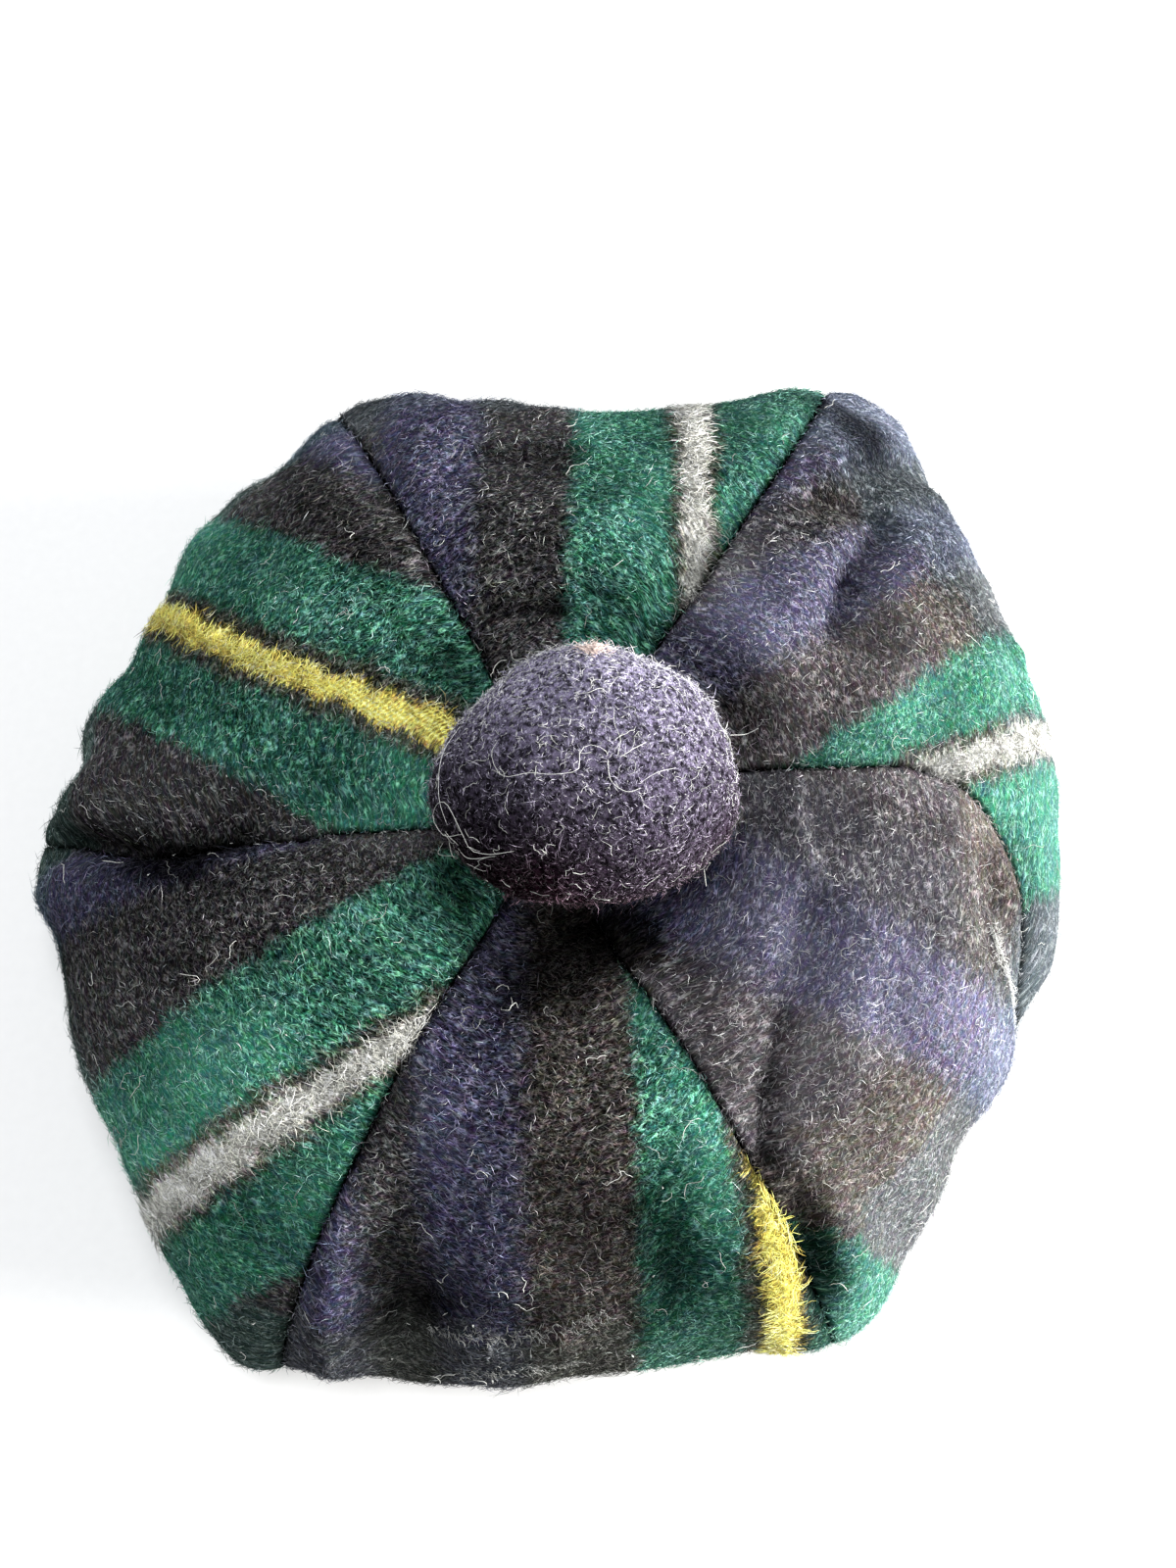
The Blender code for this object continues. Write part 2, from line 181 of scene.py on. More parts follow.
PAINTED_LIGHT_BY_GORE = (1.8, 1.0, 1.1, 1.05, 0.95, 1.95)  # painted light on each gore: the right-hand ones are painted paler than the lamps make them
print(len(FOLDS), "broad folds,", len(CREASES), "creases and", len(WEAR_AND_PAINTED_LIGHT), "worn or dark places")

# %% [markdown]
# ## From tables to one smooth surface
#
# Each table is read through a cubic whose slopes are taken across its points, so that the edge and the
# section have no corners. Everything takes whole arrays of bearings and stations.

# %% The crown as a function
def through(keys, values, at, period=None):
    """A smooth curve through the values: on each interval the cubic that meets both values with the
    slopes that np.gradient gives there. With a period it closes on itself."""
    keys = np.asarray(keys, float)
    values = np.asarray(values, float)
    at = np.asarray(at, float)
    if period:
        at = keys[0] + (at - keys[0]) % period
        keys = np.concatenate([keys[-2:] - period, keys, keys[:2] + period])
        values = np.concatenate([values[-2:], values, values[:2]])
    slopes = np.gradient(values, keys)
    i = np.clip(np.searchsorted(keys, at, side="right") - 1, 0, len(keys) - 2)
    step = keys[i + 1] - keys[i]
    t = (at - keys[i]) / step
    return (
        (1 + 2 * t) * (1 - t) ** 2 * values[i]
        + t * (1 - t) ** 2 * step * slopes[i]
        + t * t * (3 - 2 * t) * values[i + 1]
        - t * t * (1 - t) * step * slopes[i + 1]
    )


def column(table, n):
    return [row[n] for row in table]


def running(steps):
    """The running total of some steps, from 0."""
    return np.concatenate([[0], np.cumsum(steps)])


def edge_reach(bearing):
    """How far the crown's edge is from the apex, in plan."""
    return through(column(EDGE, 0), column(EDGE, 1), bearing, period=360)


def section(station):
    """The crown's share of reach, its height and its share of the edge's waves at a station."""
    rows = np.arange(len(SECTION))
    return [through(rows, column(SECTION, n), station) for n in range(3)]


def seam_bearings(station):
    """The six seams' bearings at a station, one row a seam."""
    return np.array([through(SEAM_ROWS, seam, station) for seam in SEAMS])


def base_point(bearing, station):
    """reach = share * (mean reach + waves * bulge), carried round to its bearing. The height sags where
    the edge bulges."""
    share, height, waves = section(station)
    bulge = edge_reach(bearing) - MEAN_REACH
    reach = share * (MEAN_REACH + waves * bulge)
    sag = DROOP * bulge * waves**2 * np.clip(station - 4, 0, 3) / 3
    angle = np.radians(bearing)
    return np.stack([reach * np.cos(angle), reach * np.sin(angle), height * (1 - sag)], -1)


def unit(vectors):
    return vectors / np.maximum(np.linalg.norm(vectors, axis=-1, keepdims=True), 1e-9)


def outward(bearing, station):
    """The base surface's unit normal: the cross product of a step along it and a step round it."""
    step = 0.01
    near, far = np.maximum(station - step, 0), np.minimum(station + step, LAST_STATION)
    along = base_point(bearing, far) - base_point(bearing, near)
    round_it = base_point(bearing + step, station) - base_point(bearing - step, station)
    return unit(np.cross(along, round_it))


def folded(points, station, table):
    """How deep a table's folds press in: for each, depth * exp(-(distance to its line / half width)^2),
    fading under the edge."""
    depth = np.zeros(points.shape[:-1])
    for x0, y0, x1, y1, half_width, fold_depth in table:
        way = np.array([x1 - x0, y1 - y0])
        length = np.linalg.norm(way)
        offset = points[..., :2] - (x0, y0)
        along = offset @ way / length
        past_end = np.maximum(np.maximum(-along, along - length), 0)
        side = (offset[..., 0] * way[1] - offset[..., 1] * way[0]) / length
        depth += fold_depth * np.exp(-((side**2 + past_end**2) / half_width**2))
    return depth * np.clip((EDGE_STATION + 1 - station) / 2, 0, 1)


LEAST_TONE = 0.1
CREASE_SHADE = 0.25  # painted shade in a crease: how much it darkens the wool, for each millimetre that it is deep


def tone(index, points, station):
    """How pale the wool is painted: its gore's painted light, which is weaker under the edge, times
    1 + the wear and painted light and shade, divided by 1 + the crease's painted shade * its depth."""
    crease = np.maximum(folded(points, station, CREASES), 0)
    pale = 1 + (PAINTED_LIGHT_BY_GORE[index] - 1) * np.clip((9.0 - station) / 2.5, 0.3, 1)
    return pale * np.maximum(1 + folded(points, station, WEAR_AND_PAINTED_LIGHT), LEAST_TONE) / (1 + CREASE_SHADE * crease)


def puffed(across, station):
    """How far a gore stands up between its seams: puff * fade * sin(pi * across)^0.8."""
    fade = through((0, 1, 3, 6, 8, 10, 14), (0, 0.15, 1, 0.8, 0.3, 0.1, 0), station)
    return PUFF * fade * np.sin(np.pi * np.clip(across, 0, 1)) ** 0.8


print("the section runs from", SECTION[0][1], "mm up at the apex to", SECTION[-1][1], "mm at the band")

# %% [markdown]
# ## Rolled seams and uneven cloth
#
# Two gores are sewn right sides together and turned out, so each edge rolls down into the seam on a
# small quarter circle, and the stitching draws it into faint puckers. Between the seams thick brushed
# cloth is softly uneven. A few plane waves with seeded directions give that, the same in every run.

# %% Rolls, puckers and unevenness
ROLL = 1.1  # radius of the cloth's turn into a seam, mm
SEAM_DIP = 0.8  # how deep the cloth is drawn down beside a seam, mm
SEAM_DIP_WIDTH = 2.8
PUCKER = 0.22  # height of the ripples beside a seam, mm
PUCKER_LENGTH = 7.5  # from one ripple to the next, mm
LUMPS = 12  # plane waves in the unevenness
LUMP_LENGTHS = (11.0, 46.0)  # shortest and longest, mm
LUMP_SHARE = 0.0085  # a wave's height as a share of its length

lump_rng = np.random.default_rng(11)
LUMP_AT = np.geomspace(*LUMP_LENGTHS, LUMPS)
LUMP_WAYS = unit(lump_rng.normal(size=(LUMPS, 3))) * (2 * np.pi / LUMP_AT)[:, None]
LUMP_PHASES = lump_rng.uniform(0, 2 * np.pi, LUMPS)


def lumps(points):
    """The sum of the waves' heights, each share * length * sin(way . point + phase)."""
    return (LUMP_SHARE * LUMP_AT * np.sin(points @ LUMP_WAYS.T + LUMP_PHASES)).sum(-1)


def rolled(from_seam):
    """The drop into a seam: a quarter circle, R - sqrt(R^2 - (R - d)^2) for d under the radius R, and a
    wider dip that fades as exp(-d / its width)."""
    inside = np.clip(ROLL - from_seam, 0, ROLL)
    return ROLL - np.sqrt(ROLL**2 - inside**2) + SEAM_DIP * np.exp(-from_seam / SEAM_DIP_WIDTH)


def gore_bearing(index, across, station):
    """The bearing at a share of the way across a gore, half a seam gap in from either seam, and the
    gore's angle there."""
    bearings = seam_bearings(station)
    first, last = bearings[index], bearings[(index + 1) % len(SEAMS)]
    angle = (last - first) % 360
    trim = np.degrees(SEAM_GAP / 2 / (section(station)[0] * MEAN_REACH))
    return first + trim + across * (angle - 2 * trim), angle


def gore_surface(index, across, station):
    """A gore's face, its wrong side, how far each point is from the nearer seam, and how pale it is
    painted, for wear and for light and shade. The face is the base surface, plus its puff, less its folds,
    rolls and puckers. The wrong side is one thickness of cloth in from the solids' face, or just under a
    deeper crease."""
    bearing, angle = gore_bearing(index, across, station)
    base = base_point(bearing, station)
    reach = np.hypot(base[..., 0], base[..., 1])
    from_seam = np.minimum(across, 1 - across) * np.radians(angle) * reach
    on_crown = np.clip(station / 1.5, 0, 1) * np.clip((LAST_STATION - station) / 2, 0, 1)
    seam = (index + np.round(across)) % len(SEAMS)
    wave = np.sin(2 * np.pi * reach / PUCKER_LENGTH + 2.4 * seam)
    pucker = PUCKER * wave * np.exp(-from_seam / 4.0)
    broad = puffed(across, station) - folded(base, station, FOLDS)
    roll = rolled(from_seam) * (1 - 0.7 * np.clip((station - 5.0) / 2.5, 0, 1))
    fine = (lumps(base) + pucker) * on_crown - roll - folded(base, station, CREASES)
    inner = np.minimum(broad - CLOTH, broad + fine - LEAST_CLOTH)
    way = outward(bearing, station)
    outer, inner = base + way * (broad + fine)[..., None], base + way * inner[..., None]
    return outer, inner, from_seam, tone(index, base, station)


print(f"{LUMPS} waves, together up to {LUMP_SHARE * LUMP_AT.sum():.1f} mm high")

# %% [markdown]
# ## Rows and columns
#
# A grid of rows along the section and columns across the gore becomes the mesh. Rows lie closer where
# the section turns, and columns crowd towards the seams, where the roll needs them.

# %% Where the rows and columns lie
ROWS = 136
COLUMNS = 90  # faces across the outer side
INNER_COLUMNS = 30


def row_stations(rows):
    """Stations evenly spaced along the section's length, plus 18 mm of length for each radian that it
    turns."""
    evenly = np.linspace(0, LAST_STATION, 8 * LAST_STATION + 1)
    share, height, _ = section(evenly)
    slope = np.unwrap(np.arctan2(np.diff(height), np.diff(share * MEAN_REACH)))
    lengths = np.hypot(np.diff(share * MEAN_REACH), np.diff(height))
    run = running(lengths + 18 * np.abs(np.gradient(slope)))
    return np.interp(np.linspace(0, run[-1], rows), run, evenly)


def crowded(count):
    """Shares from 0 to 1: 0.3 of even steps and 0.7 of 0.5 - 0.5 cos(pi t), which crowd at both ends."""
    t = np.linspace(0, 1, count)
    return 0.3 * t + 0.7 * (0.5 - 0.5 * np.cos(np.pi * t))


def section_length(station):
    """How far along the cloth a station is from the apex, in millimetres, on the mean section."""
    finely = np.linspace(0, LAST_STATION, 1200)
    share, height, _ = section(finely)
    steps = np.hypot(np.diff(share * MEAN_REACH), np.diff(height))
    return np.interp(station, finely, running(steps))


print(f"the cloth is {section_length(LAST_STATION):.0f} mm long from the apex to the band")

# %% [markdown]
# ## Tartan by the stripe
#
# The six wedges are cut from one tartan, but each at its own place, so each shows other stripes. On a
# gore the stripes run outwards, along one direction. A stripe's place is its distance in millimetres
# from the line through the apex along that direction, to the right of someone looking outwards. Cloth
# that is sewn and pulled leans, so each edge is given twice: close to the pompom and out by the rim.

# %% The gores and their stripes
STRIPE_SPAN = 110.0  # the stripes are told apart this far to either side, mm
Gore = namedtuple("Gore", "name direction near far weft stripes")
GORES = (
    # name, direction, near distance, far distance, weft that shows: its dye, where it begins, how much,
    # and stripes from the left: dye, near edge, far edge
    Gore("far_right", 31, 60, 110, (("plum", 40, 0.3), ("tan", 98, 0.15), ("steel", 110, 0.45)), (
        ("navy", -STRIPE_SPAN, -STRIPE_SPAN), ("black", -37, -37), ("navy", -21, -21), ("brown", 0, 0),
        ("green", 24, 20.5), ("guard", 34, 41.5), ("white", 36, 43.5), ("guard", 42.5, 51),
        ("green", 44.5, 53.5), ("black", 81, 81),
    )),
    Gore("far", 88, 60, 105, (("steel", 111, 0.35),), (
        ("black", -STRIPE_SPAN, -STRIPE_SPAN), ("navy", -46, -48), ("black", -22, -22.5),
        ("green", 2.5, 3), ("guard", 29, 26.5), ("white", 31.5, 29.5), ("guard", 37.5, 37.5),
        ("green", 40.5, 40),
    )),
    Gore("far_left", 152, 40, 68, (("leaf", 120, 0.3),), (
        ("black", -STRIPE_SPAN, -STRIPE_SPAN), ("green", -30.5, -31), ("guard", -6.2, -11.4),
        ("yellow", -1.6, -5.9), ("guard", 6, -0.8), ("green", 11.2, 5.6), ("black", 34, 28.5),
        ("navy", 60, 54),
    )),
    Gore("near_left", 213, 60, 105, (("leaf", 128, 0.3),), (
        ("black", -STRIPE_SPAN, -STRIPE_SPAN), ("green", -62, -59), ("guard", -37.5, -38.5),
        ("white", -34, -35), ("guard", -27.8, -27.5), ("green", -24, -23), ("black", 3, 1),
        ("navy", 24, 34), ("black", 46, 56),
    )),
    Gore("near", 270, 60, 110, (("olive", 122, 0.65),), (
        ("green", -STRIPE_SPAN, -STRIPE_SPAN), ("guard", -53.4, -60), ("yellow", -50, -56.5),
        ("guard", -43.5, -49.3), ("green", -38.6, -44), ("brown", -20, -21), ("navy", 5, 4.5),
        ("black", 29, 24), ("navy", 44, 40),
    )),
    Gore("near_right", 327, 60, 105, (("plum", 45, 0.45), ("tan", 98, 0.2), ("steel", 117, 0.35)), (
        ("brown", -STRIPE_SPAN, -STRIPE_SPAN), ("black", -36, -36), ("navy", -17, -17),
        ("brown", 12, 7), ("green", 66, 49),
    )),
)


def cloth_map(gore, points, station):
    """A point's place in the tartan, in millimetres: how far to the right of the gore's own line it
    lies, straightened so that each stripe's edge keeps its far value, and how far along the cloth."""
    angle = np.radians(gore.direction)
    to_right = points[..., 0] * np.sin(angle) - points[..., 1] * np.cos(angle)
    distance = points[..., 0] * np.cos(angle) + points[..., 1] * np.sin(angle)
    near_edges, far_edges = (np.array(column(gore.stripes, n)) for n in (1, 2))
    lean = np.interp(to_right, near_edges, far_edges - near_edges)
    leaning = np.clip((gore.far - distance) / (gore.far - gore.near), -0.2, 1.3)
    reach = edge_reach(np.degrees(np.arctan2(points[..., 1], points[..., 0])))
    along = section_length(station) * (1 + 0.6 * (reach / MEAN_REACH - 1))
    return np.stack([to_right + lean * leaning, along], -1)


print(sum(len(gore.stripes) for gore in GORES), "stripes on", len(GORES), "gores")

# %% [markdown]
# ## A class for shader maths
#
# Shader maths reads best as plain Python. The small class below wraps the socket that a value comes out
# of, and each operator adds the Math node that does its work. One method adds any other kind of node.

# %% Values and finishes
class Value:
    """One output socket of a finish, with Python's operators."""

    def __init__(self, finish, socket):
        self.finish = finish
        self.socket = socket

    def maths(self, operation, *others, clamp=False):
        settings = {"operation": operation, "use_clamp": clamp}
        return self.finish.node("ShaderNodeMath", settings, {0: self, **dict(enumerate(others, 1))})

    def __add__(self, other):
        return self.maths("ADD", other)

    def __sub__(self, other):
        return self.maths("SUBTRACT", other)

    def __rsub__(self, other):
        return self.finish.node("ShaderNodeMath", {"operation": "SUBTRACT"}, {0: other, 1: self})

    def __mul__(self, other):
        return self.maths("MULTIPLY", other)

    def __truediv__(self, other):
        return self.maths("DIVIDE", other)

    def __pow__(self, other):
        return self.maths("POWER", other)

    __radd__ = __add__
    __rmul__ = __mul__

    def between(self, low, high):
        """0 below low, 1 above high, and a straight rise between them."""
        return ((self - low) / (high - low)).maths("ADD", 0.0, clamp=True)

    def sine(self):
        return self.maths("SINE")

    def or_more(self, other):
        return self.maths("MAXIMUM", other)


class Finish:
    """A material that is being put together."""

    def __init__(self, name, **constants):
        self.material = bpy.data.materials.new(name)
        self.material.use_nodes = True
        self.tree = self.material.node_tree
        self.shader = self.tree.nodes["Principled BSDF"]
        for socket, value in constants.items():
            self.shader.inputs[socket.replace("_", " ")].default_value = value

    def node(self, kind, settings=None, inputs=None, output=0):
        """Adds a node. Settings come first; an input may be a number, a vector or another value."""
        made = self.tree.nodes.new(kind)
        for key, value in (settings or {}).items():
            setattr(made, key, value)
        for key, value in (inputs or {}).items():
            if isinstance(value, Value):
                self.tree.links.new(value.socket, made.inputs[key])
            else:
                made.inputs[key].default_value = value
        return Value(self, made.outputs[output])

    def map(self, name):
        return self.node("ShaderNodeUVMap", {"uv_map": name})

    def on_object(self):
        return self.node("ShaderNodeTexCoord", output="Object")

    def axis(self, vector, name):
        return self.node("ShaderNodeSeparateXYZ", None, {0: vector}, name)

    def noise(self, place, size, turn=0.0, detail=2.0, roughness=0.5, seed=0.0, output="Fac"):
        """Noise from 0 to 1 with lumps of a size in millimetres along three axes, once the place is
        turned round its third axis. A seed slides it to another part of the noise."""
        mapping = self.node(
            "ShaderNodeMapping", {"vector_type": "TEXTURE"},
            {
                "Vector": place, "Location": (0, 0, seed), "Rotation": (0, 0, np.radians(turn)),
                "Scale": tuple(side * MM for side in size),
            },
        )
        inputs = {"Vector": mapping, "Scale": 1.0, "Detail": detail, "Roughness": roughness}
        return self.node("ShaderNodeTexNoise", None, inputs, output)

    def strokes(self, place, size, turn=0.0, width=0.05, seed=0.0):
        """Thin curly lines, like fibres: 1 where noise is at its middle value, 0 beyond the width."""
        level = self.noise(place, size, turn, 1.0, 0.4, seed) - 0.5
        return level.maths("ABSOLUTE").between(width, 0)

    def ramp(self, value, stops):
        """A colour ramp. stops holds (position, colour) pairs."""
        made = self.tree.nodes.new("ShaderNodeValToRGB")
        elements = made.color_ramp.elements
        elements[0].position, elements[0].color = stops[0][0], (*stops[0][1], 1)
        elements[1].position, elements[1].color = stops[-1][0], (*stops[-1][1], 1)
        for position, colour in stops[1:-1]:
            elements.new(position).color = (*colour, 1)
        self.tree.links.new(value.socket, made.inputs["Fac"])
        return Value(self, made.outputs["Color"])

    def mix(self, factor, first, second):
        inputs = {0: factor, 6: first, 7: second}
        return self.node("ShaderNodeMix", {"data_type": "RGBA"}, inputs, 2)

    def vectors(self, operation, *others, output=0):
        """Vector Math, which colours go through too."""
        return self.node("ShaderNodeVectorMath", {"operation": operation}, dict(enumerate(others)), output)

    def scaled(self, colour, factor):
        """The colour times a factor, but never paler than the palest wool."""
        return self.vectors("MINIMUM", self.vectors("MULTIPLY", colour, factor), (0.82,) * 3)

    def bump(self, height, distance, strength):
        inputs = {"Height": height, "Distance": distance, "Strength": strength}
        return self.node("ShaderNodeBump", None, inputs)

    def finished(self, colour, normal=None):
        self.tree.links.new(colour.socket, self.shader.inputs["Base Color"])
        if normal is not None:
            self.tree.links.new(normal.socket, self.shader.inputs["Normal"])
        return self.material


print("ready to mix finishes")

# %% [markdown]
# ## Dyed wool
#
# Six dyes and the dark guard lines are the whole palette. A stripe's edge in brushed cloth is
# never sharp, because fibres of both colours cross it, so the ramp is read at a place that fine noise
# pushes to and fro. Warp is brushed up over weft here, so the crossing stripes show only as a faint
# tint, here and there. Under the nap the yellow and white yarns still show their twill, and where the
# nap of a pale stripe is worn off, by the pompom, its separate threads.

# %% The dyes and the tartan finish
DYES = {
    "navy": (0.062, 0.062, 0.115),
    "black": (0.033, 0.032, 0.035),
    "brown": (0.057, 0.049, 0.046),
    "green": (0.029, 0.150, 0.101),
    "guard": (0.043, 0.050, 0.036),
    "white": (0.60, 0.60, 0.55),
    "yellow": (1.40, 1.13, 0.24),  # strong, because the gaps between its yarns darken it
}
TEAL = (0.035, 0.13, 0.12)  # where the green yarn took more blue
WEFT_DYES = {
    "tan": (0.094, 0.078, 0.068),
    "steel": (0.09, 0.12, 0.14),
    "plum": (0.060, 0.055, 0.072),
    "leaf": (0.05, 0.15, 0.12),
    "olive": (0.048, 0.055, 0.046),
}
WEFT_BLUR = 3.0  # half the width over which a weft tint begins, mm
WEFT_WANDER = 30.0  # how far its edge wanders, mm
CLOTH_LENGTH = 260.0  # more than the cloth's length, for the weft's ramp, mm
STRIPE_BLUR = 1.7  # half the width over which one dye gives way to the next, mm
DARK_DYES = {"navy", "black", "brown"}
PALE_DYES = {"white", "yellow"}
DARK_BLUR = 3.2  # the blur between two dark dyes, mm
STRIPE_FUZZ = 8.0  # how far fibres carry a dye over its edge, mm
STRIPE_WANDER = 9.0  # how far an edge wanders over some millimetres, mm
TWILL = 2.7  # from one twill line to the next, mm
THREADS = (1.55, 1.8)  # from one thread to the next, each way, where the nap is gone, mm
BARE = {"far_left": (56.0, 0.9), "far": (75.0, 0.4)}  # a pale stripe's worn length, mm, and how worn
BARE_FADE = 6.0  # half the length over which the wear ends, mm
CALM = (72.0, 125.0)  # how far along the cloth its nap begins to lie smooth, and is smoothest, mm
FIBRE_WAYS = (24.0, -31.0, 5.0)  # how fibres lie to the line across the stripes, degrees


def stripe_stops(stripes, dyes):
    """Ramp stops for the stripes: two for each edge, a little apart."""
    stops = [(0.0, dyes[stripes[0][0]])]
    for before, (dye, _, edge) in zip(stripes, stripes[1:]):
        blur = DARK_BLUR if {before[0], dye} <= DARK_DYES else STRIPE_BLUR
        for colour, shift in ((dyes[before[0]], -blur), (dyes[dye], blur)):
            stops.append(((edge + shift + STRIPE_SPAN) / (2 * STRIPE_SPAN), colour))
    return stops + [(1.0, dyes[stripes[-1][0]])]


def weft_stops(weft):
    """Ramp stops for the weft's dyes, and others for how much they show."""
    dyes, amounts = [(0.0, WEFT_DYES[weft[0][0]])], [(0.0, (0.0,) * 3)]
    before, shown = weft[0][0], 0.0
    for dye, start, amount in weft:
        for shift, name, share in ((-WEFT_BLUR, before, shown), (WEFT_BLUR, dye, amount)):
            at_share = (start + shift) / CLOTH_LENGTH
            dyes.append((at_share, WEFT_DYES[name]))
            amounts.append((at_share, (share,) * 3))
        before, shown = dye, amount
    return dyes + [(1.0, WEFT_DYES[before])], amounts + [(1.0, (shown,) * 3)]


def tartan_colour(finish, gore, dyes):
    """The dye at a place in the cloth, the place itself, and how pale the yarn is there."""
    place = finish.map("cloth")
    across, along = finish.axis(place, 0), finish.axis(place, 1)
    fuzz = (finish.noise(place, (2.6, 0.55, 1.0), 8, 2.0, 0.6) - 0.5) * (STRIPE_FUZZ * MM)
    wander = (finish.noise(place, (16.0, 6.0, 1.0), 0, 3.0, 0.6) - 0.5) * (STRIPE_WANDER * MM)
    share = (across + fuzz + wander + STRIPE_SPAN * MM) / (2 * STRIPE_SPAN * MM)
    colour = finish.ramp(share, stripe_stops(gore.stripes, dyes))
    amounts = []
    for some in (PALE_DYES, {"green"}):
        marked = {dye: (float(dye in some),) * 3 for dye in dyes}
        amounts.append(finish.axis(finish.ramp(share, stripe_stops(gore.stripes, marked)), 0))
    light, leafy = amounts
    bluer = finish.noise(place, (13.0, 9.0, 1.0), 0, 2.0, 0.6, 5.0).between(0.45, 0.7)
    colour = finish.mix(leafy * bluer * 0.5, colour, (*TEAL, 1))
    motley = finish.noise(place, (1.9, 1.1, 1.0), 0, 1.0, 0.5, 70.0, "Color")
    motley = finish.vectors("MULTIPLY_ADD", motley, (1.2,) * 3, (0.4,) * 3)
    colour = finish.vectors("MULTIPLY", colour, finish.mix(light, motley, (1, 1, 1, 1)))
    cloudy = (finish.noise(place, (11.0, 9.0, 1.0), 0, 3.0, 0.6, 9.0) - 0.5) * (WEFT_WANDER * MM)
    down = (along + cloudy) / (CLOTH_LENGTH * MM)
    weft, amount = weft_stops(gore.weft)
    tint, strength = finish.ramp(down, weft), finish.axis(finish.ramp(down, amount), 0)
    return finish.mix(strength * (1 - light) * (1 - leafy * 0.7), colour, tint), place, light


def tartan(gore):
    """The cloth's own surface: a dyed ground with dark gaps, and on it short curved fibres that lie
    across the stripes, a little paler than the dye. Three lots of them lie at three slants. Where a pale
    stripe is worn bare, threads cross instead, and out by the rim the nap is calmer."""
    finish = Finish(f"tartan_{gore.name}", Roughness=1.0, Specular_IOR_Level=0.0)
    colour, place, light = tartan_colour(finish, gore, DYES)
    across, along = finish.axis(place, 0), finish.axis(place, 1)
    fibres = None
    for seed, turn in enumerate(FIBRE_WAYS):
        lot = finish.strokes(place, (3.2, 0.95, 1.0), turn, 0.06, 3.0 * seed)
        lot = lot * finish.noise(place, (2.2, 2.2, 1.0), 0, 1.0, 0.5, 20.0 + seed).between(0.44, 0.58)
        fibres = lot if fibres is None else fibres.or_more(lot)
    grain = finish.noise(place, (0.9, 0.55, 1.0), 0, 3.0, 0.65, 40.0)
    clumps = finish.noise(place, (4.0, 2.6, 1.0), 0, 2.0, 0.5, 50.0)
    clouds = finish.noise(place, (22.0, 22.0, 1.0), 0, 2.0, 0.5, 60.0)
    ridges = ((across * 0.8 + along) * (2 * np.pi / (TWILL * MM))).sine() * light
    ground = grain.between(0.42, 0.66) * 0.62 + 0.04
    shade = (ground + fibres * 2.3) * (clumps * 2.0) * (clouds * 1.2 + 0.4)
    shade = shade * (1 + ridges * (clumps.between(0.4, 0.6) * 0.35))
    worn_to, worn = BARE.get(gore.name, (0.0, 0.0))
    bare = light * along.between((worn_to + BARE_FADE) * MM, (worn_to - BARE_FADE) * MM) * worn
    threads = ((across + along * 0.5) * (2 * np.pi / (THREADS[0] * MM))).sine()
    threads = threads * ((along - across * 0.4) * (2 * np.pi / (THREADS[1] * MM))).sine()
    shade = shade * (1 - bare) + bare * (threads.between(-0.4, 0.5) * 1.1 + 0.1) * (clumps * 1.2 + 0.4)
    calm = along.between(CALM[0] * MM, CALM[1] * MM) * 0.45
    shade = shade * (1 - calm) + calm * 0.62
    # The seam map's second number is painted light and shade, with wear, and it brightens or darkens the
    # cloth.
    seam = finish.map("seam")
    wear_and_painted_light = finish.axis(seam, 1)
    shade = shade * wear_and_painted_light.maths("MINIMUM", 1.0) + (wear_and_painted_light - 1).or_more(0.0) * 0.7
    # Painted shade in each seam's groove: the cloth is darker within 2 mm of a seam.
    shade = shade * (finish.axis(seam, 0).between(0.2 * MM, 2.0 * MM) * 0.65 + 0.35)
    colour = finish.mix(fibres * (1 - light) * 0.10, colour, (0.55, 0.55, 0.52, 1))
    height = grain + fibres * 0.7 + clumps * 1.6 + ridges * 0.3 + threads * bare * 0.3
    return finish.finished(finish.scaled(colour, shade), finish.bump(height, 0.9 * MM, 1.0))


print(", ".join(DYES))

# %% [markdown]
# ## Meshes from arrays
#
# A closed gore is its outer grid, its inner grid and two narrow rims, taken together as one loop of
# columns that is carried along the section. Both ends are closed by hexagons between the inner and the
# outer row.

# %% Mesh helpers
def new_piece(name, slot, points, faces, maps, material):
    """A piece from arrays: points in millimetres round the apex, faces as arrays of corner indices, one
    array for each number of corners, and a (u, v) for each corner in each map."""
    corners = np.concatenate([kind.ravel() for kind in faces])
    counts = np.concatenate([np.full(len(kind), kind.shape[1]) for kind in faces])
    place = (points + (*APEX, 0)) * MM
    mesh = bpy.data.meshes.new(name)
    mesh.vertices.add(len(place))
    mesh.vertices.foreach_set("co", place.astype(np.float32).ravel())
    mesh.loops.add(len(corners))
    mesh.loops.foreach_set("vertex_index", corners.astype(np.int32))
    mesh.polygons.add(len(counts))
    mesh.polygons.foreach_set("loop_start", (np.cumsum(counts) - counts).astype(np.int32))
    mesh.update(calc_edges=True)
    for map_name, values in maps.items():
        layer = mesh.uv_layers.new(name=map_name, do_init=False)
        layer.uv.foreach_set("vector", values.astype(np.float32).ravel())
    mesh.shade_smooth()
    mesh.materials.append(material)
    thing = bpy.data.objects.new(name, mesh)
    bpy.context.scene.collection.objects.link(thing)
    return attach(thing, "root")


def grid_corners(rows, columns):
    """The row and column of each face's four corners, on a grid with one column more than it has
    faces."""
    row, col = (a.ravel() for a in np.mgrid[0 : rows - 1, 0 : columns - 1])
    return np.stack([row, row, row + 1, row + 1], -1), np.stack([col, col + 1, col + 1, col], -1)


print("helpers ready")

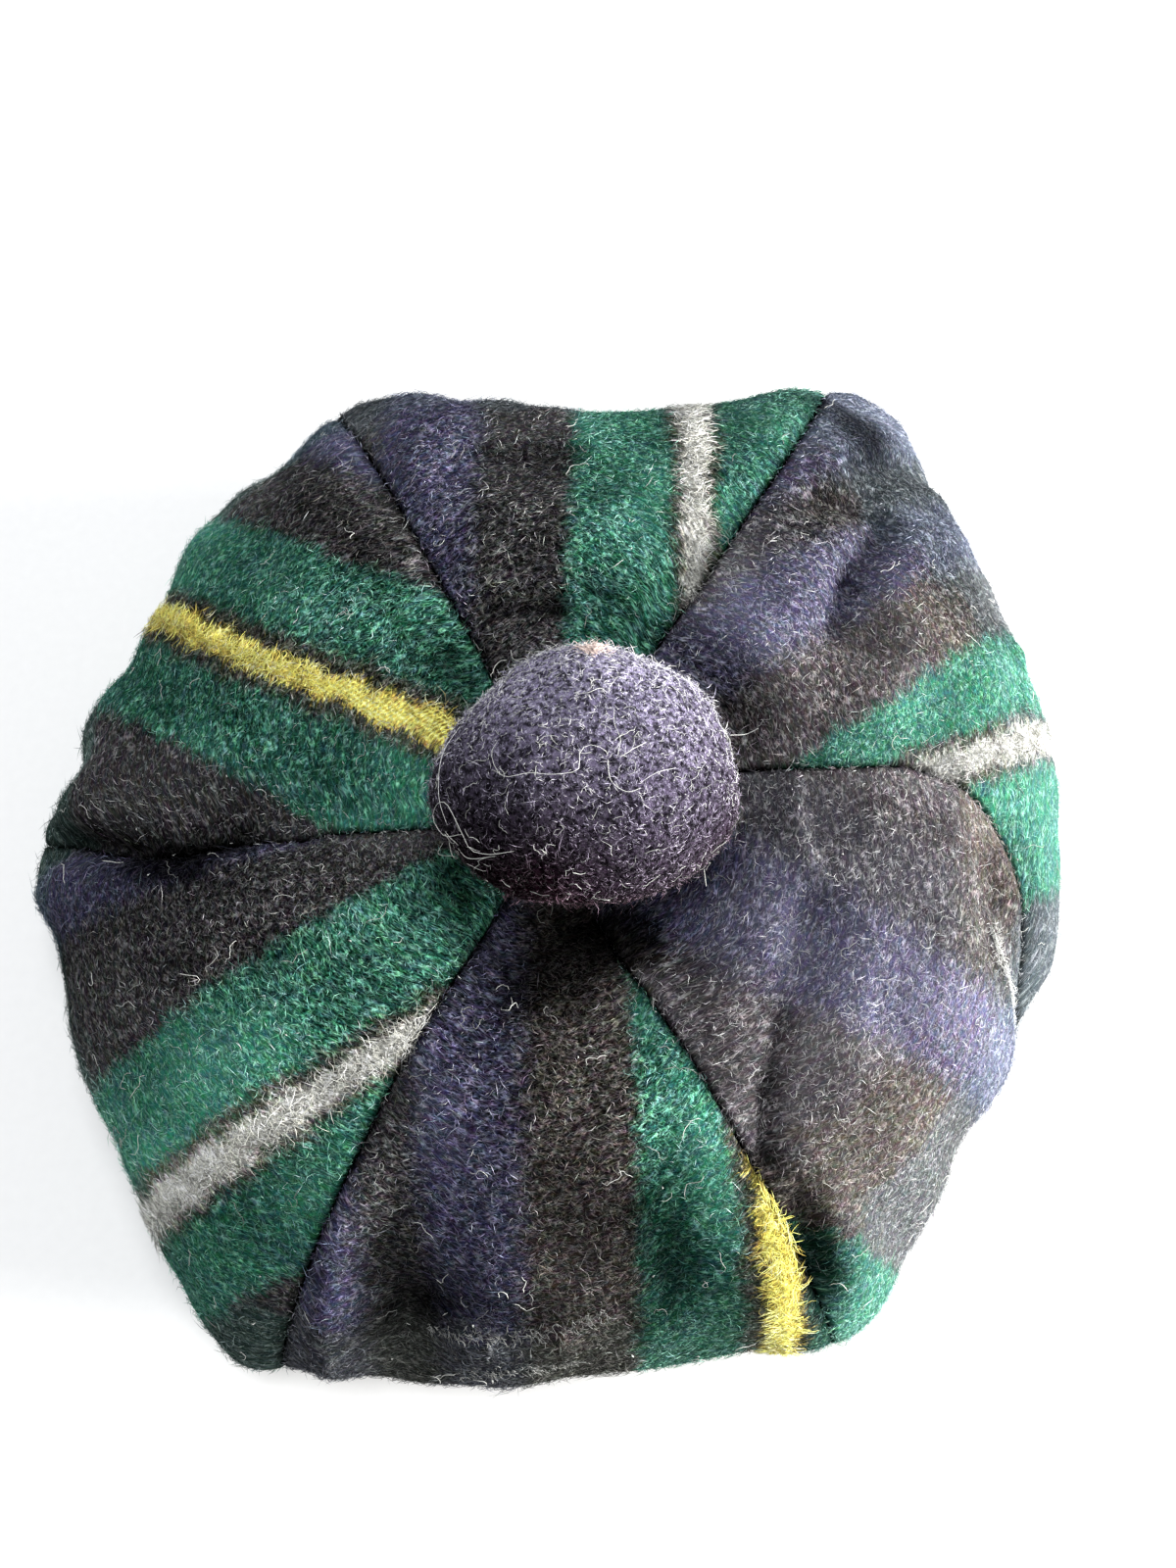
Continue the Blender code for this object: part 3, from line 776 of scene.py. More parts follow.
# %% [markdown]
# ## The six gores
#
# Each gore is its own closed piece, as it is its own piece of cloth. The map called cloth holds its
# place in the tartan in metres. The map called seam holds the distance from the seam and the tone,
# which paints wear and light and shade. The map called OFBake lays the whole shell out in one square,
# for whoever paints its finish into a picture.

# %% Make the gores
INNER_TONE = 0.9  # how pale the wrong side is


def gore_grids(gore, index):
    """The gore's outer face on its grid: points, places in the cloth, unit normals, and the distance
    from the seam with the tone."""
    station, across = np.meshgrid(row_stations(ROWS), crowded(COLUMNS + 1), indexing="ij")
    points, _, from_seam, wear_and_painted_light = gore_surface(index, across, station)
    normals = unit(np.cross(np.gradient(points, axis=0), np.gradient(points, axis=1)))
    return points, cloth_map(gore, points, station), normals, np.stack([from_seam, wear_and_painted_light], -1)


def gore_shell(gore, index, outer, cloth, seam):
    """Points, faces and maps of the closed gore. Columns run over its face and back under it."""
    station, across = np.meshgrid(row_stations(ROWS), crowded(INNER_COLUMNS + 1), indexing="ij")
    _, inner, from_seam, _ = gore_surface(index, across, station)
    inner = inner[:, ::-1]
    seam = np.concatenate([seam, np.stack([from_seam, 0 * from_seam + INNER_TONE], -1)], axis=1)
    points = np.concatenate([outer, inner], axis=1)
    cloth = np.concatenate([cloth, cloth_map(gore, inner, station)], axis=1)
    columns = points.shape[1]
    row, col = grid_corners(ROWS, columns + 1)
    sides = row * columns + col % columns
    step = np.arange(INNER_COLUMNS)[:, None]
    thirds = COLUMNS // INNER_COLUMNS
    cap = np.concatenate([thirds * step + np.arange(thirds + 1), columns - 2 - step, columns - 1 - step], 1)
    caps = np.concatenate([cap[:, ::-1], cap + (ROWS - 1) * columns])
    steps = np.linalg.norm(np.diff(points, axis=1, append=points[:, :1]), axis=-1).mean(0)
    share = running(steps + 0.1) / (steps + 0.1).sum()
    down = np.linspace(0.02, 0.98, ROWS)
    laid = np.stack([share[col], down[row]], -1).reshape(-1, 2)
    foot = caps >= columns
    cap_laid = np.stack([share[caps % columns], foot * 0.98 + 0.01], -1)
    cap_laid[..., 1] += 0.008 * (caps % columns > COLUMNS) * np.where(foot, 1, -1)
    corners = np.concatenate([sides.ravel(), caps.ravel()])
    maps = {
        "cloth": cloth.reshape(-1, 2)[corners] * MM,
        "seam": seam.reshape(-1, 2)[corners] * (MM, 1),
        "OFBake": np.concatenate([laid, cap_laid.reshape(-1, 2)]),
    }
    return points.reshape(-1, 3), [sides, caps], maps


gore_pieces, gore_faces = [], []
for index, gore in enumerate(GORES):
    points, cloth, normals, seam = gore_grids(gore, index)
    gore_faces.append((points, cloth, normals, seam))
    shell = gore_shell(gore, index, points, cloth, seam)
    piece = new_piece(f"gore_cloth_{gore.name}", "tartan_wool", *shell, tartan(gore))
    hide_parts(f"gore_{gore.name}")
    gore_pieces.append(piece)
print(len(gore_pieces), "gores of", len(piece.data.polygons), "faces each")

# %% [markdown]
# ## Nap
#
# Brushing pulls the ends of the fibres out of the yarn, and they lie across the stripes. A hair particle
# system could grow them, but plain arrays keep the result a mesh like any other. Each fibre is a thin
# closed spindle on a short bent path: a point at its root, three corners at each bend, and a point at
# its tip. The places are drawn by the area of the grid's cells.

# %% Fibres on a surface
def cell_areas(points):
    """The area of each cell of a grid: half the cross product of its diagonals."""
    one = points[1:, 1:] - points[:-1, :-1]
    other = points[:-1, 1:] - points[1:, :-1]
    return np.linalg.norm(np.cross(one, other), axis=-1) / 2


def at(grid, row, col):
    """A grid's values between its points, by their distance from the four corners of the cell."""
    i, j = row.astype(int), col.astype(int)
    s, t = (row - i)[:, None], (col - j)[:, None]
    first = grid[i, j] * (1 - t) + grid[i, j + 1] * t
    return first * (1 - s) + (grid[i + 1, j] * (1 - t) + grid[i + 1, j + 1] * t) * s


def scatter(rng, points, normals, count, weight):
    """Random places on a grid surface: (row, column) with fractions, the points, and the unit normals
    there. A cell is drawn by its area times a weight."""
    area = cell_areas(points) * weight
    cell = rng.choice(area.size, count, p=(area / area.sum()).ravel())
    row, col = (whole + rng.random(count) for whole in np.unravel_index(cell, area.shape))
    return (row, col), at(points, row, col), unit(at(normals, row, col))


def spindles(paths, radius, upright):
    """Thin closed tubes: on each path of k points, a point at either end and k - 2 triangles between
    them, each at radius from the path. Gives points, faces, and each corner's share along and round."""
    count, length, _ = paths.shape
    rings = length - 2
    ahead = unit(paths[:, 2:] - paths[:, :-2])
    side = unit(np.cross(ahead, upright[:, None]))
    up = np.cross(side, ahead)
    turn = np.radians([90, 210, 330])[:, None]
    spoke = np.cos(turn) * side[:, :, None] + np.sin(turn) * up[:, :, None]
    ring = paths[:, 1:-1, None] + radius[:, None, None, None] * spoke
    points = np.concatenate([paths[:, :1], ring.reshape(count, 3 * rings, 3), paths[:, -1:]], 1)
    a, b = np.arange(3), (np.arange(3) + 1) % 3
    root = np.stack([0 * a, 1 + b, 1 + a], -1)
    tip_at = 1 + 3 * rings
    tip = np.stack([0 * a + tip_at, tip_at - 3 + a, tip_at - 3 + b], -1)
    below = 1 + 3 * np.arange(rings - 1)[:, None]
    tube = np.stack([below + a, below + b, below + 3 + b, below + 3 + a], -1).reshape(-1, 4)
    first = np.arange(count)[:, None, None] * points.shape[1]
    faces = [(first + np.concatenate([root, tip])).reshape(-1, 3), (first + tube).reshape(-1, 4)]
    level = np.concatenate([[0], np.repeat(np.arange(1, rings + 1), 3), [rings + 1]]) / (rings + 1)
    round_it = np.concatenate([[0.5], np.tile([0.5, 1.0, 0.0], rings), [0.5]])
    local = [np.concatenate([root, tip]), tube]
    shares = [np.broadcast_to(np.stack([level[k], round_it[k]], -1), (count, *k.shape, 2)) for k in local]
    return points.reshape(-1, 3), faces, shares


def strands_piece(name, slot, paths, radius, upright, own, laid, material, place=None):
    """A piece of many strands. The map called strand has the share along each and a number of its own,
    and it has a small patch of the map called OFBake, round a middle that is given. place, where it is
    given, is each one's place in the tartan."""
    points, faces, shares = spindles(paths, radius, upright)
    flat = np.concatenate([part.reshape(-1, 2) for part in shares])
    strand = np.concatenate([np.repeat(np.arange(len(paths)), part[0].size // 2) for part in shares])
    maps = {} if place is None else {"cloth": place[strand] * MM}
    maps["strand"] = np.stack([flat[:, 0], own[strand]], -1)
    maps["OFBake"] = laid[strand] + (flat - 0.5) * (0.006, 0.003)
    return new_piece(name, slot, points, [kind for kind in faces if kind.size], maps, material)


def patches(count, in_a_row):
    """The middles of equal patches of a square, one for each strand, row by row."""
    number = np.arange(count)
    return 0.02 + 0.96 * np.stack([number % in_a_row, number // in_a_row], -1) / in_a_row


print("a spindle with one bend has 5 points and 6 faces")

# %% [markdown]
# The nap takes its dye from its root, so it is the same tartan. Its tips are paler, as brushed wool's
# are, and each fibre has its own shade. That shade also carries the wear and the painted light and
# shade of the cloth at its root.

# %% Comb the nap over the gores
NAP = 14000  # fibres on each gore
NAP_LENGTH = 2.5  # mm
NAP_RADIUS = 0.068
NAP_SPREAD = 48.0  # how far a fibre strays from straight across the stripes, degrees
NAP_TURNED = 0.2  # share that lies the other way
NAP_END = 9.5  # the station past which it is thin, because brushes don't reach under the edge
NAP_UNDER = 0.25  # share of it that grows there
BARE_REACH = 16.0  # no nap grows nearer the apex than this, mm
# grey of faded fibres, and a painted highlight where the cloth is painted lit
FADED_WOOL_AND_HIGHLIGHT = (0.42, 0.43, 0.42)
NAP_DYES = {
    dye: colour if dye in PALE_DYES else tuple(0.95 * part + 0.018 for part in colour)
    for dye, colour in DYES.items()
}


def nap_finish(gore):
    """The tartan's dyes, times the fibre's own number, and a little paler towards its tip. The palest
    fibres turn grey: some have lost dye, and on cloth painted lit the grey is a painted highlight."""
    finish = Finish(f"nap_{gore.name}", Roughness=0.8, Specular_IOR_Level=0.3)
    colour, _, light = tartan_colour(finish, gore, NAP_DYES)
    strand = finish.map("strand")
    own = finish.axis(strand, 1)
    colour = finish.mix(own.between(0.8, 6.0) * (1 - light) * 0.26, colour, (*FADED_WOOL_AND_HIGHLIGHT, 1))
    shade = own * (finish.axis(strand, 0) * 0.4 + 0.8)
    return finish.finished(finish.scaled(colour, shade))


def strewn(rng, gore, normal, spread, turned):
    """Unit vectors on the surface across the stripes, to the right. Each strays by a normally spread
    angle in degrees, and a share of them lies the other way."""
    angle = np.radians(gore.direction)
    way = np.array([np.sin(angle), -np.cos(angle), 0.0])
    way = unit(way - (normal @ way)[:, None] * normal)
    stray = np.radians(rng.normal(0, spread, len(way))) + np.pi * (rng.random(len(way)) < turned)
    return np.cos(stray)[:, None] * way + np.sin(stray)[:, None] * np.cross(normal, way)


def cells(points, clear):
    """For each cell of a gore's grid, its station, and 0 nearer the apex than clear, 1 from 10 mm on."""
    reach = np.hypot(points[:-1, :-1, 0], points[:-1, :-1, 1])
    return row_stations(ROWS)[:-1, None], np.clip((reach - clear) / 10, 0, 1)


def in_square(place):
    """Where a place in the tartan lies in the map called OFBake."""
    return 0.02 + 0.96 * (place + (STRIPE_SPAN, 0)) / (2 * STRIPE_SPAN, CLOTH_LENGTH)


def bent_paths(rng, root, normal, way, length, lift, bends):
    """Paths of bends + 2 points: each step turns a little in the surface, and the rise follows
    lift * share^0.7, from a root that is 0.3 mm in the cloth."""
    steps = bends + 1
    other = np.cross(normal, way)
    turn = rng.normal(0, 0.75, (len(root), steps)).cumsum(1)
    each = length[:, None, None] / steps
    moves = each * (np.cos(turn)[..., None] * way[:, None] + np.sin(turn)[..., None] * other[:, None])
    share = np.arange(1, steps + 1) / steps
    rise = (lift[:, None] * share**0.7)[..., None] * normal[:, None]
    flat = root[:, None] + np.cumsum(moves, 1) + rise
    return np.concatenate([(root - 0.3 * normal)[:, None], flat], 1)


def on_pale_stripe(gore, cloth, inset=0.0):
    """1 on the gore's white or yellow stripe, that far in from its edges, else 0."""
    low, high = 0.0, 0.0
    for (dye, _, left), (_, _, right) in zip(gore.stripes, gore.stripes[1:]):
        if dye in PALE_DYES:
            low, high = left, right
    return ((cloth[..., 0] > low + inset) & (cloth[..., 0] < high - inset)) * 1.0


def worn_bare(gore, cloth):
    """How far the nap is gone: a share on the gore's pale stripe as far as it is worn, else 0."""
    worn_to, worn = BARE.get(gore.name, (0.0, 0.0))
    left = np.clip((worn_to + BARE_FADE - cloth[..., 1]) / (2 * BARE_FADE), 0, 1)
    return worn * on_pale_stripe(gore, cloth) * left


def tufts(root):
    """Pale yarn stands in small tufts with gaps: a number about 1 that follows fine waves."""
    return 1 + 0.55 * np.tanh(1.3 * lumps(6 * root))


nap_pieces = []
for index, gore in enumerate(GORES):
    rng = np.random.default_rng(100 + index)
    points, cloth, normals, seam = gore_faces[index]
    station, clear = cells(points, BARE_REACH)
    weight = np.where(station < NAP_END, 1.0, NAP_UNDER) * clear
    weight = weight * np.clip(seam[:-1, :-1, 0] / 0.8, 0.4, 1) * (1 - worn_bare(gore, cloth[:-1, :-1]))
    spot, root, normal = scatter(rng, points, normals, NAP, weight)
    place = at(cloth, *spot)
    way = strewn(rng, gore, normal, NAP_SPREAD, NAP_TURNED)
    length = NAP_LENGTH * rng.lognormal(0, 0.35, NAP)
    lift = rng.uniform(0.25, 1.0, NAP) * length * 0.3
    paths = bent_paths(rng, root, normal, way, length, lift, 1)
    # Each fibre's shade takes the painted light and shade, and the wear, at its root.
    wear_and_painted_light = at(seam, *spot)[:, 1]
    calm = 0.5 * np.clip((place[:, 1] - CALM[0]) / (CALM[1] - CALM[0]), 0, 1)
    varied = (1 - calm) * (0.50 + 5.4 * rng.random(NAP) ** 5) + calm * 1.3
    own = np.minimum(wear_and_painted_light, 1) * varied + np.maximum(wear_and_painted_light - 1, 0) * 1.3
    own = own * (1 + on_pale_stripe(gore, place) * (tufts(root) - 1))
    radius = NAP_RADIUS * rng.uniform(0.6, 1.2, NAP)
    laid, finish = in_square(place), nap_finish(gore)
    nap = strands_piece(f"nap_{gore.name}", "tartan_wool", paths, radius, normal, own, laid, finish, place)
    nap_pieces.append([nap])
print(len(GORES) * NAP, "fibres of nap")

# %% [markdown]
# The pale yarns are softer, and their fibres are longer: they lie right over the dark guard lines on
# both sides. They are drawn the same way, but only where the cloth is white or yellow.

# %% Long fibres from the pale stripes
PALE = 1100  # fibres on each pale stripe
PALE_LENGTH = (2.5, 6.5)  # mm
PALE_SPREAD = 24.0  # degrees
PALE_TURNED = 0.18
PALE_CLEAR = 24.0  # none grows nearer the apex than this, mm
UNDER_EDGE = 9.0  # the station where the underside begins, and loose fibres end

for index, gore in enumerate(GORES):
    if not PALE_DYES & set(column(gore.stripes, 0)):
        continue
    rng = np.random.default_rng(200 + index)
    points, cloth, normals, _ = gore_faces[index]
    station, clear = cells(points, PALE_CLEAR)
    weight = on_pale_stripe(gore, cloth[:-1, :-1], 0.9) * clear * np.where(station < UNDER_EDGE, 1.0, 0.1)
    weight = weight * (1 - 0.8 * worn_bare(gore, cloth[:-1, :-1]))
    spot, root, normal = scatter(rng, points, normals, PALE, weight)
    place = at(cloth, *spot)
    way = strewn(rng, gore, normal, PALE_SPREAD, PALE_TURNED)
    length = rng.uniform(*PALE_LENGTH, PALE)
    paths = bent_paths(rng, root, normal, way, length, rng.uniform(0.4, 1.4, PALE), 2)
    own = rng.uniform(0.3, 1.6, PALE) * tufts(root)
    radius = rng.uniform(0.05, 0.085, PALE)
    laid, finish = in_square(place), nap_pieces[index][0].active_material
    nap = strands_piece(
        f"pale_nap_{gore.name}", "tartan_wool", paths, radius, normal, own, laid, finish, place
    )
    nap_pieces[index].append(nap)
print(sum(map(len, nap_pieces)) - len(GORES), "pale stripes with", PALE, "long fibres each")

# %% [markdown]
# Worn wool also has stray pale hairs, which curl loosely over the cloth, and a few specks of lint. Both
# are spindles again, hairs long with many bends and lint short and thick. They have no dye.

# %% Stray hairs and lint
LOOSE = {
    # on each gore, bends, shortest, longest, thinnest radius, thickest
    "stray_hairs": (56, 7, 3.5, 9.0, 0.05, 0.08),
    "lint": (12, 1, 0.7, 1.3, 0.14, 0.22),
}
HAIR = (0.60, 0.61, 0.58)


def fuzz_finish(name, colour, low, high):
    """A fibre's finish: its own number picks its shade between two levels."""
    finish = Finish(name, Roughness=0.75, Specular_IOR_Level=0.3, Sheen_Weight=0.1, Sheen_Roughness=0.5)
    shade = finish.axis(finish.map("strand"), 1) * (high - low) + low
    return finish.finished(finish.scaled(colour, shade))


def any_way(rng, normal):
    """A unit vector in the surface for each normal, in a random direction."""
    return unit(np.cross(normal, rng.normal(size=normal.shape)))


def laid_on(points, normals, rng, count, bends, shortest, longest, weight):
    """Loose paths on a grid surface, that start anywhere and turn as they go, and the unit normals at
    their roots."""
    _, root, normal = scatter(rng, points, normals, count, weight)
    length = rng.uniform(shortest, longest, count)
    way = any_way(rng, normal)
    return bent_paths(rng, root, normal, way, length, rng.uniform(0.3, 1.1, count), bends), normal


rng = np.random.default_rng(21)
lots = {name: [] for name in LOOSE}
for points, _, normals, _ in gore_faces:
    station, clear = cells(points, BARE_REACH)
    weight = np.where(station < UNDER_EDGE, clear, 0)
    for name, (count, *shape, _, _) in LOOSE.items():
        lots[name].append(laid_on(points, normals, rng, count, *shape, weight))
for name, (*_, thin, thick) in LOOSE.items():
    paths, normal = (np.concatenate(part) for part in zip(*lots[name]))
    count = len(paths)
    own, radius = rng.random(count), rng.uniform(thin, thick, count)
    finish = fuzz_finish(name, HAIR, 0.35, 1.3)
    strands_piece(name, "tartan_wool", paths, radius, normal, own, patches(count, 24), finish)
    print(count, name)

# %% [markdown]
# A fold that has been pressed wears first along its edge, and short pale fibres stand there in a thin
# line, which also paints the highlight on the fold's edge. Two such lines run along the near rim, and
# one lies beside the right-hand seam.

# %% Fibres along pressed folds
WORN_FOLDS_AND_HIGHLIGHTS = (
    # palest shade, fibres on each millimetre, then waypoints in plan, mm
    (0.5, 5, (-26.1, -119.2), (-11.6, -120.9), (3.8, -119.1), (13.8, -115.8)),
    (0.5, 5, (-18.8, -130), (7.6, -126.6)),
    (1.3, 13, (103.8, -30.5), (105, -34.8), (106.8, -39.8), (111, -44.8), (113.6, -51)),
)

on_top = row_stations(ROWS) < EDGE_STATION - 0.4
top_points, top_normals = (
    np.concatenate([shape[part][on_top].reshape(-1, 3) for shape in gore_faces]) for part in (0, 2)
)


def on_crown(places):
    """The crown's points at places in plan, and the unit normals there: from the nearest point of the
    grid, the rest of the way goes along the surface."""
    offset = places[:, None] - top_points[None, :, :2]
    nearest = (offset**2).sum(-1).argmin(1)
    normal = top_normals[nearest]
    rest = np.concatenate([offset[np.arange(len(places)), nearest], np.zeros((len(places), 1))], 1)
    return top_points[nearest] + rest - (rest * normal).sum(-1, keepdims=True) * normal, normal


def along_lines(rng, corners, count):
    """Random places along a line of straight pieces, and the unit way of the line there."""
    steps = np.diff(corners, axis=0)
    lengths = np.linalg.norm(steps, axis=1)
    which = rng.choice(len(steps), count, p=lengths / lengths.sum())
    return corners[which] + rng.random((count, 1)) * steps[which], steps[which] / lengths[which, None]


rng = np.random.default_rng(55)
lots, shades = [], []
for palest, on_each, *corners in WORN_FOLDS_AND_HIGHLIGHTS:
    corners = np.array(corners)
    count = int(on_each * np.linalg.norm(np.diff(corners, axis=0), axis=1).sum())
    places, way = along_lines(rng, corners, count)
    root, normal = on_crown(places + rng.normal(0, 0.45, (count, 2)))
    way = np.concatenate([way, np.zeros((count, 1))], 1) + rng.normal(0, 0.45, (count, 3))
    way = unit(way - (way * normal).sum(-1, keepdims=True) * normal)
    length = rng.uniform(1.2, 3.0, count)
    lots.append((bent_paths(rng, root, normal, way, length, rng.uniform(0.2, 0.8, count), 2), normal))
    shades.append(palest * rng.uniform(0.35, 1.0, count))
paths, normal = (np.concatenate(part) for part in zip(*lots))
count = len(paths)
strands_piece(
    "fold_fibres", "tartan_wool", paths, rng.uniform(0.05, 0.08, count), normal, np.concatenate(shades),
    patches(count, 32), fuzz_finish("fold_fibre", HAIR, 0.0, 1.2),
)
print(count, "fibres along", len(WORN_FOLDS_AND_HIGHLIGHTS), "worn folds")

# %% [markdown]
# ## The pompom
#
# The pompom is a ball of felt, a little flat and leaning, held by a tie that goes down between the
# gores' tips to a knot. It is turned from the same profile as its solid, then given its outline from
# above, so it fits where the solid was.

# %% The pompom's surface
POMPOM_REACH = 35.2
POMPOM_HALF_HEIGHT = 29.5
POMPOM_HEIGHT = 79.0  # of its middle
POMPOM_LEAN = (9.0, -1.0)  # its middle in plan, from the apex
LUMP = 0.02  # how uneven the ball is, as a share of its reach
TIE_RADIUS = 1.8
KNOT_RADIUS = 4.0
KNOT_DROP = 4.0
POMPOM_EDGE = (
    # bearing, share of the widest reach
    (0, 0.915), (15, 0.895), (35, 0.89), (53, 0.84), (75, 0.81), (95, 0.785), (110, 0.77), (125, 0.75),
    (140, 0.765), (155, 0.825), (170, 0.90), (188, 0.985), (210, 0.96), (235, 0.88), (255, 0.81),
    (275, 0.79), (298, 0.855), (319, 0.945), (337, 0.98), (350, 0.945),
)
POMPOM_RINGS = 84
POMPOM_SIDES = 120


def pompom_profile():
    """(reach, height) from the top of the ball round to its underside, then the tie and the knot."""
    latitude = np.radians(np.linspace(90, -74, POMPOM_RINGS))
    reach = POMPOM_REACH * np.maximum(np.cos(latitude), 0) ** 0.94
    ball = np.stack([reach, POMPOM_HEIGHT + POMPOM_HALF_HEIGHT * np.sin(latitude)], -1)
    knot_top = SECTION[0][1] - CLOTH - SEAM_GAP
    tie = [
        (1.4 * TIE_RADIUS, POMPOM_HEIGHT - POMPOM_HALF_HEIGHT),
        (TIE_RADIUS, SECTION[0][1]),
        (TIE_RADIUS, knot_top),
    ]
    for share, drop in ((0.85, 0.1), (1.0, 0.5), (0.6, 0.9), (0.0, 1.0)):
        tie.append((share * KNOT_RADIUS, knot_top - drop * KNOT_DROP))
    return np.concatenate([ball, tie])


def pompom_grid():
    """The profile carried round, with its reach scaled by the outline's share at each bearing, and its
    middle moved by the lean. Small waves make the felt uneven."""
    reach, height = pompom_profile().T
    bearing = np.linspace(0, 360, POMPOM_SIDES + 1)
    on_ball = np.clip((height - POMPOM_HEIGHT + POMPOM_HALF_HEIGHT) / (0.2 * POMPOM_HALF_HEIGHT), 0, 1)
    share = through(column(POMPOM_EDGE, 0), column(POMPOM_EDGE, 1), bearing, period=360)
    lump = LUMP * np.sin(np.radians(3 * bearing) + 0.09 * height[:, None])
    shape = 1 + on_ball[:, None] * (share * (1 + lump) - 1)
    angle = np.radians(bearing)
    reach = reach[:, None] * shape
    points = np.stack([reach * np.cos(angle), reach * np.sin(angle), height[:, None] + 0 * shape], -1)
    middle = np.array([0, 0, POMPOM_HEIGHT])
    points = points + unit(points - middle) * (0.45 * lumps(points * 1.7) * on_ball[:, None])[..., None]
    points[..., :2] += on_ball[:, None, None] * np.array(POMPOM_LEAN)
    points[:, -1] = points[:, 0]
    return points


pompom_points = pompom_grid()
print("the pompom is", np.ptp(pompom_points[..., 0]).round(1), "mm across")

# %% [markdown]
# Felt is a mat of fibres with no weave. Its ground is dark violet, and the pale ends of its fibres catch
# the light, which makes it look lilac wherever the light falls on it. Its colours are also painted light
# and shade: nearly black on the ball's near side, pale on its top and far side, with a painted shade on
# its near left and a painted highlight on its near right.

# %% Felt, and the ball
# Painted light and shade: each pair is the colour on the shaded near side, then on the lit top.
FELT_SHADED_AND_LIT = ((0.009, 0.003, 0.006), (0.17, 0.15, 0.24))  # on the near side, and on top
FELT_FIBRE_SHADED_AND_LIT = ((0.034, 0.012, 0.021), (1.20, 1.16, 1.52))
FELT_TIP = (0.66, 0.64, 0.74)
PAINTED_SHADE_PATCH = (-13.0, -14.0, 91.0)  # their middles, mm
PAINTED_HIGHLIGHT_PATCH = (25.0, -17.0, 93.0)


def felt_painted_light(finish, place):
    """Painted light on the felt: 0 under the ball's near side, 1 on its top and far side, and a little
    more on a painted highlight. Then painted shade: how much of the colour the shaded patch leaves."""
    right, far, high = (finish.axis(place, n) for n in range(3))
    high = high - POMPOM_HEIGHT * MM
    away, close = (
        finish.vectors("DISTANCE", place, tuple(part * MM for part in patch), output=1)
        for patch in (PAINTED_SHADE_PATCH, PAINTED_HIGHLIGHT_PATCH)
    )
    left = away.between(8.0 * MM, 25.0 * MM) * 0.66 + 0.34
    pale = close.between(26.0 * MM, 8.0 * MM) * 0.10
    return (far * 0.9 + high * 0.6 - right * 0.1).between(-20.0 * MM, 31.0 * MM) ** 1.9 + pale, left


def felt():
    """Object coordinates carry the mat: fine granules, a little clumping, and slow clouds of shade."""
    finish = Finish("navy_felt", Roughness=1.0, Specular_IOR_Level=0.0)
    place = finish.on_object()
    curls = None
    for seed, size in enumerate((1.1, 1.5, 0.8)):
        lot = finish.strokes(place, (size,) * 3, 40.0 * seed, 0.06, 11.0 * seed * MM)
        lot = lot * finish.noise(place, (1.2,) * 3, 0, 1.0, 0.5, 31.0 * (seed + 1) * MM).between(0.46, 0.58)
        curls = lot if curls is None else curls.or_more(lot)
    grain = finish.noise(place, (0.6,) * 3, 0, 3.0, 0.65)
    clumps = finish.noise(place, (3.0,) * 3, 0, 2.0)
    clouds = finish.noise(place, (17.0,) * 3, 0, 2.0)
    pits = finish.noise(place, (1.3,) * 3, 0, 2.0, 0.6, 50.0 * MM).between(0.40, 0.60)
    # high is the painted light, from the shaded near side to the lit top, and shown is the painted shade.
    high, shown = felt_painted_light(finish, place)
    ground, fibre = (finish.mix(high, (*low, 1), (*top, 1)) for low, top in (FELT_SHADED_AND_LIT, FELT_FIBRE_SHADED_AND_LIT))
    colour = finish.mix(curls * 0.45 + grain.between(0.5, 0.75) * 0.06, ground, fibre)
    shade = (clumps * 1.4 + 0.3) * (clouds * 0.8 + 0.6) * (pits * 1.5 + 0.2) * shown
    colour = finish.scaled(colour, shade)
    return finish.finished(colour, finish.bump(grain + curls * 0.8 + clumps * 1.6, 0.7 * MM, 1.0))


def felt_fibres():
    """A fibre's finish: the felt's pale colour there, painted from shaded to lit, times the fibre's own
    number, its clump's and the painted shade.
    """
    finish = Finish("felt_fibres", Roughness=0.8, Specular_IOR_Level=0.3)
    place = finish.on_object()
    high, shown = felt_painted_light(finish, place)
    colour = finish.mix(high, (*FELT_FIBRE_SHADED_AND_LIT[0], 1), (*FELT_FIBRE_SHADED_AND_LIT[1], 1))
    own = finish.axis(finish.map("strand"), 1)
    # Pale tips show most where the felt is painted lit.
    colour = finish.mix(own.between(1.1, 3.0) * (high * 0.35 + 0.05), colour, (*FELT_TIP, 1))
    clumps = finish.noise(place, (1.7,) * 3, 0, 2.0, 0.6).between(0.38, 0.62) * 1.8 + 0.15
    return finish.finished(finish.scaled(colour, own * clumps * shown))


rings = len(pompom_points)
row, col = grid_corners(rings, POMPOM_SIDES + 1)
top, foot = row[:, 0] == 0, row[:, 2] == rings - 1
vertex = 2 + (row - 1) * POMPOM_SIDES + col % POMPOM_SIDES
vertex = np.where(row == 0, 0, np.where(row == rings - 1, 1, vertex))
laid = np.stack([col / POMPOM_SIDES, 1 - row / (rings - 1)], -1)
kinds = ((~(top | foot), [3, 2, 1, 0]), (top, [3, 2, 0]), (foot, [3, 1, 0]))
faces = [vertex[which][:, order] for which, order in kinds]
felt_map = np.concatenate([laid[which][:, order].reshape(-1, 2) for which, order in kinds])
ends = pompom_points[[0, -1], 0]
solid = np.concatenate([ends, pompom_points[1:-1, :-1].reshape(-1, 3)])
pompom = new_piece("pompom_felt", "pompom_felt", solid, faces, {"OFBake": felt_map}, felt())
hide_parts("pompom")
print("the ball has", len(pompom.data.polygons), "faces")

# %% [markdown]
# Short curled fibres cover the ball. They lie every way, so each starts in a direction of its own in the
# surface.

# %% Fibres on the pompom
FUZZ = 24000
FUZZ_LENGTH = 1.7
FUZZ_RADIUS = 0.06

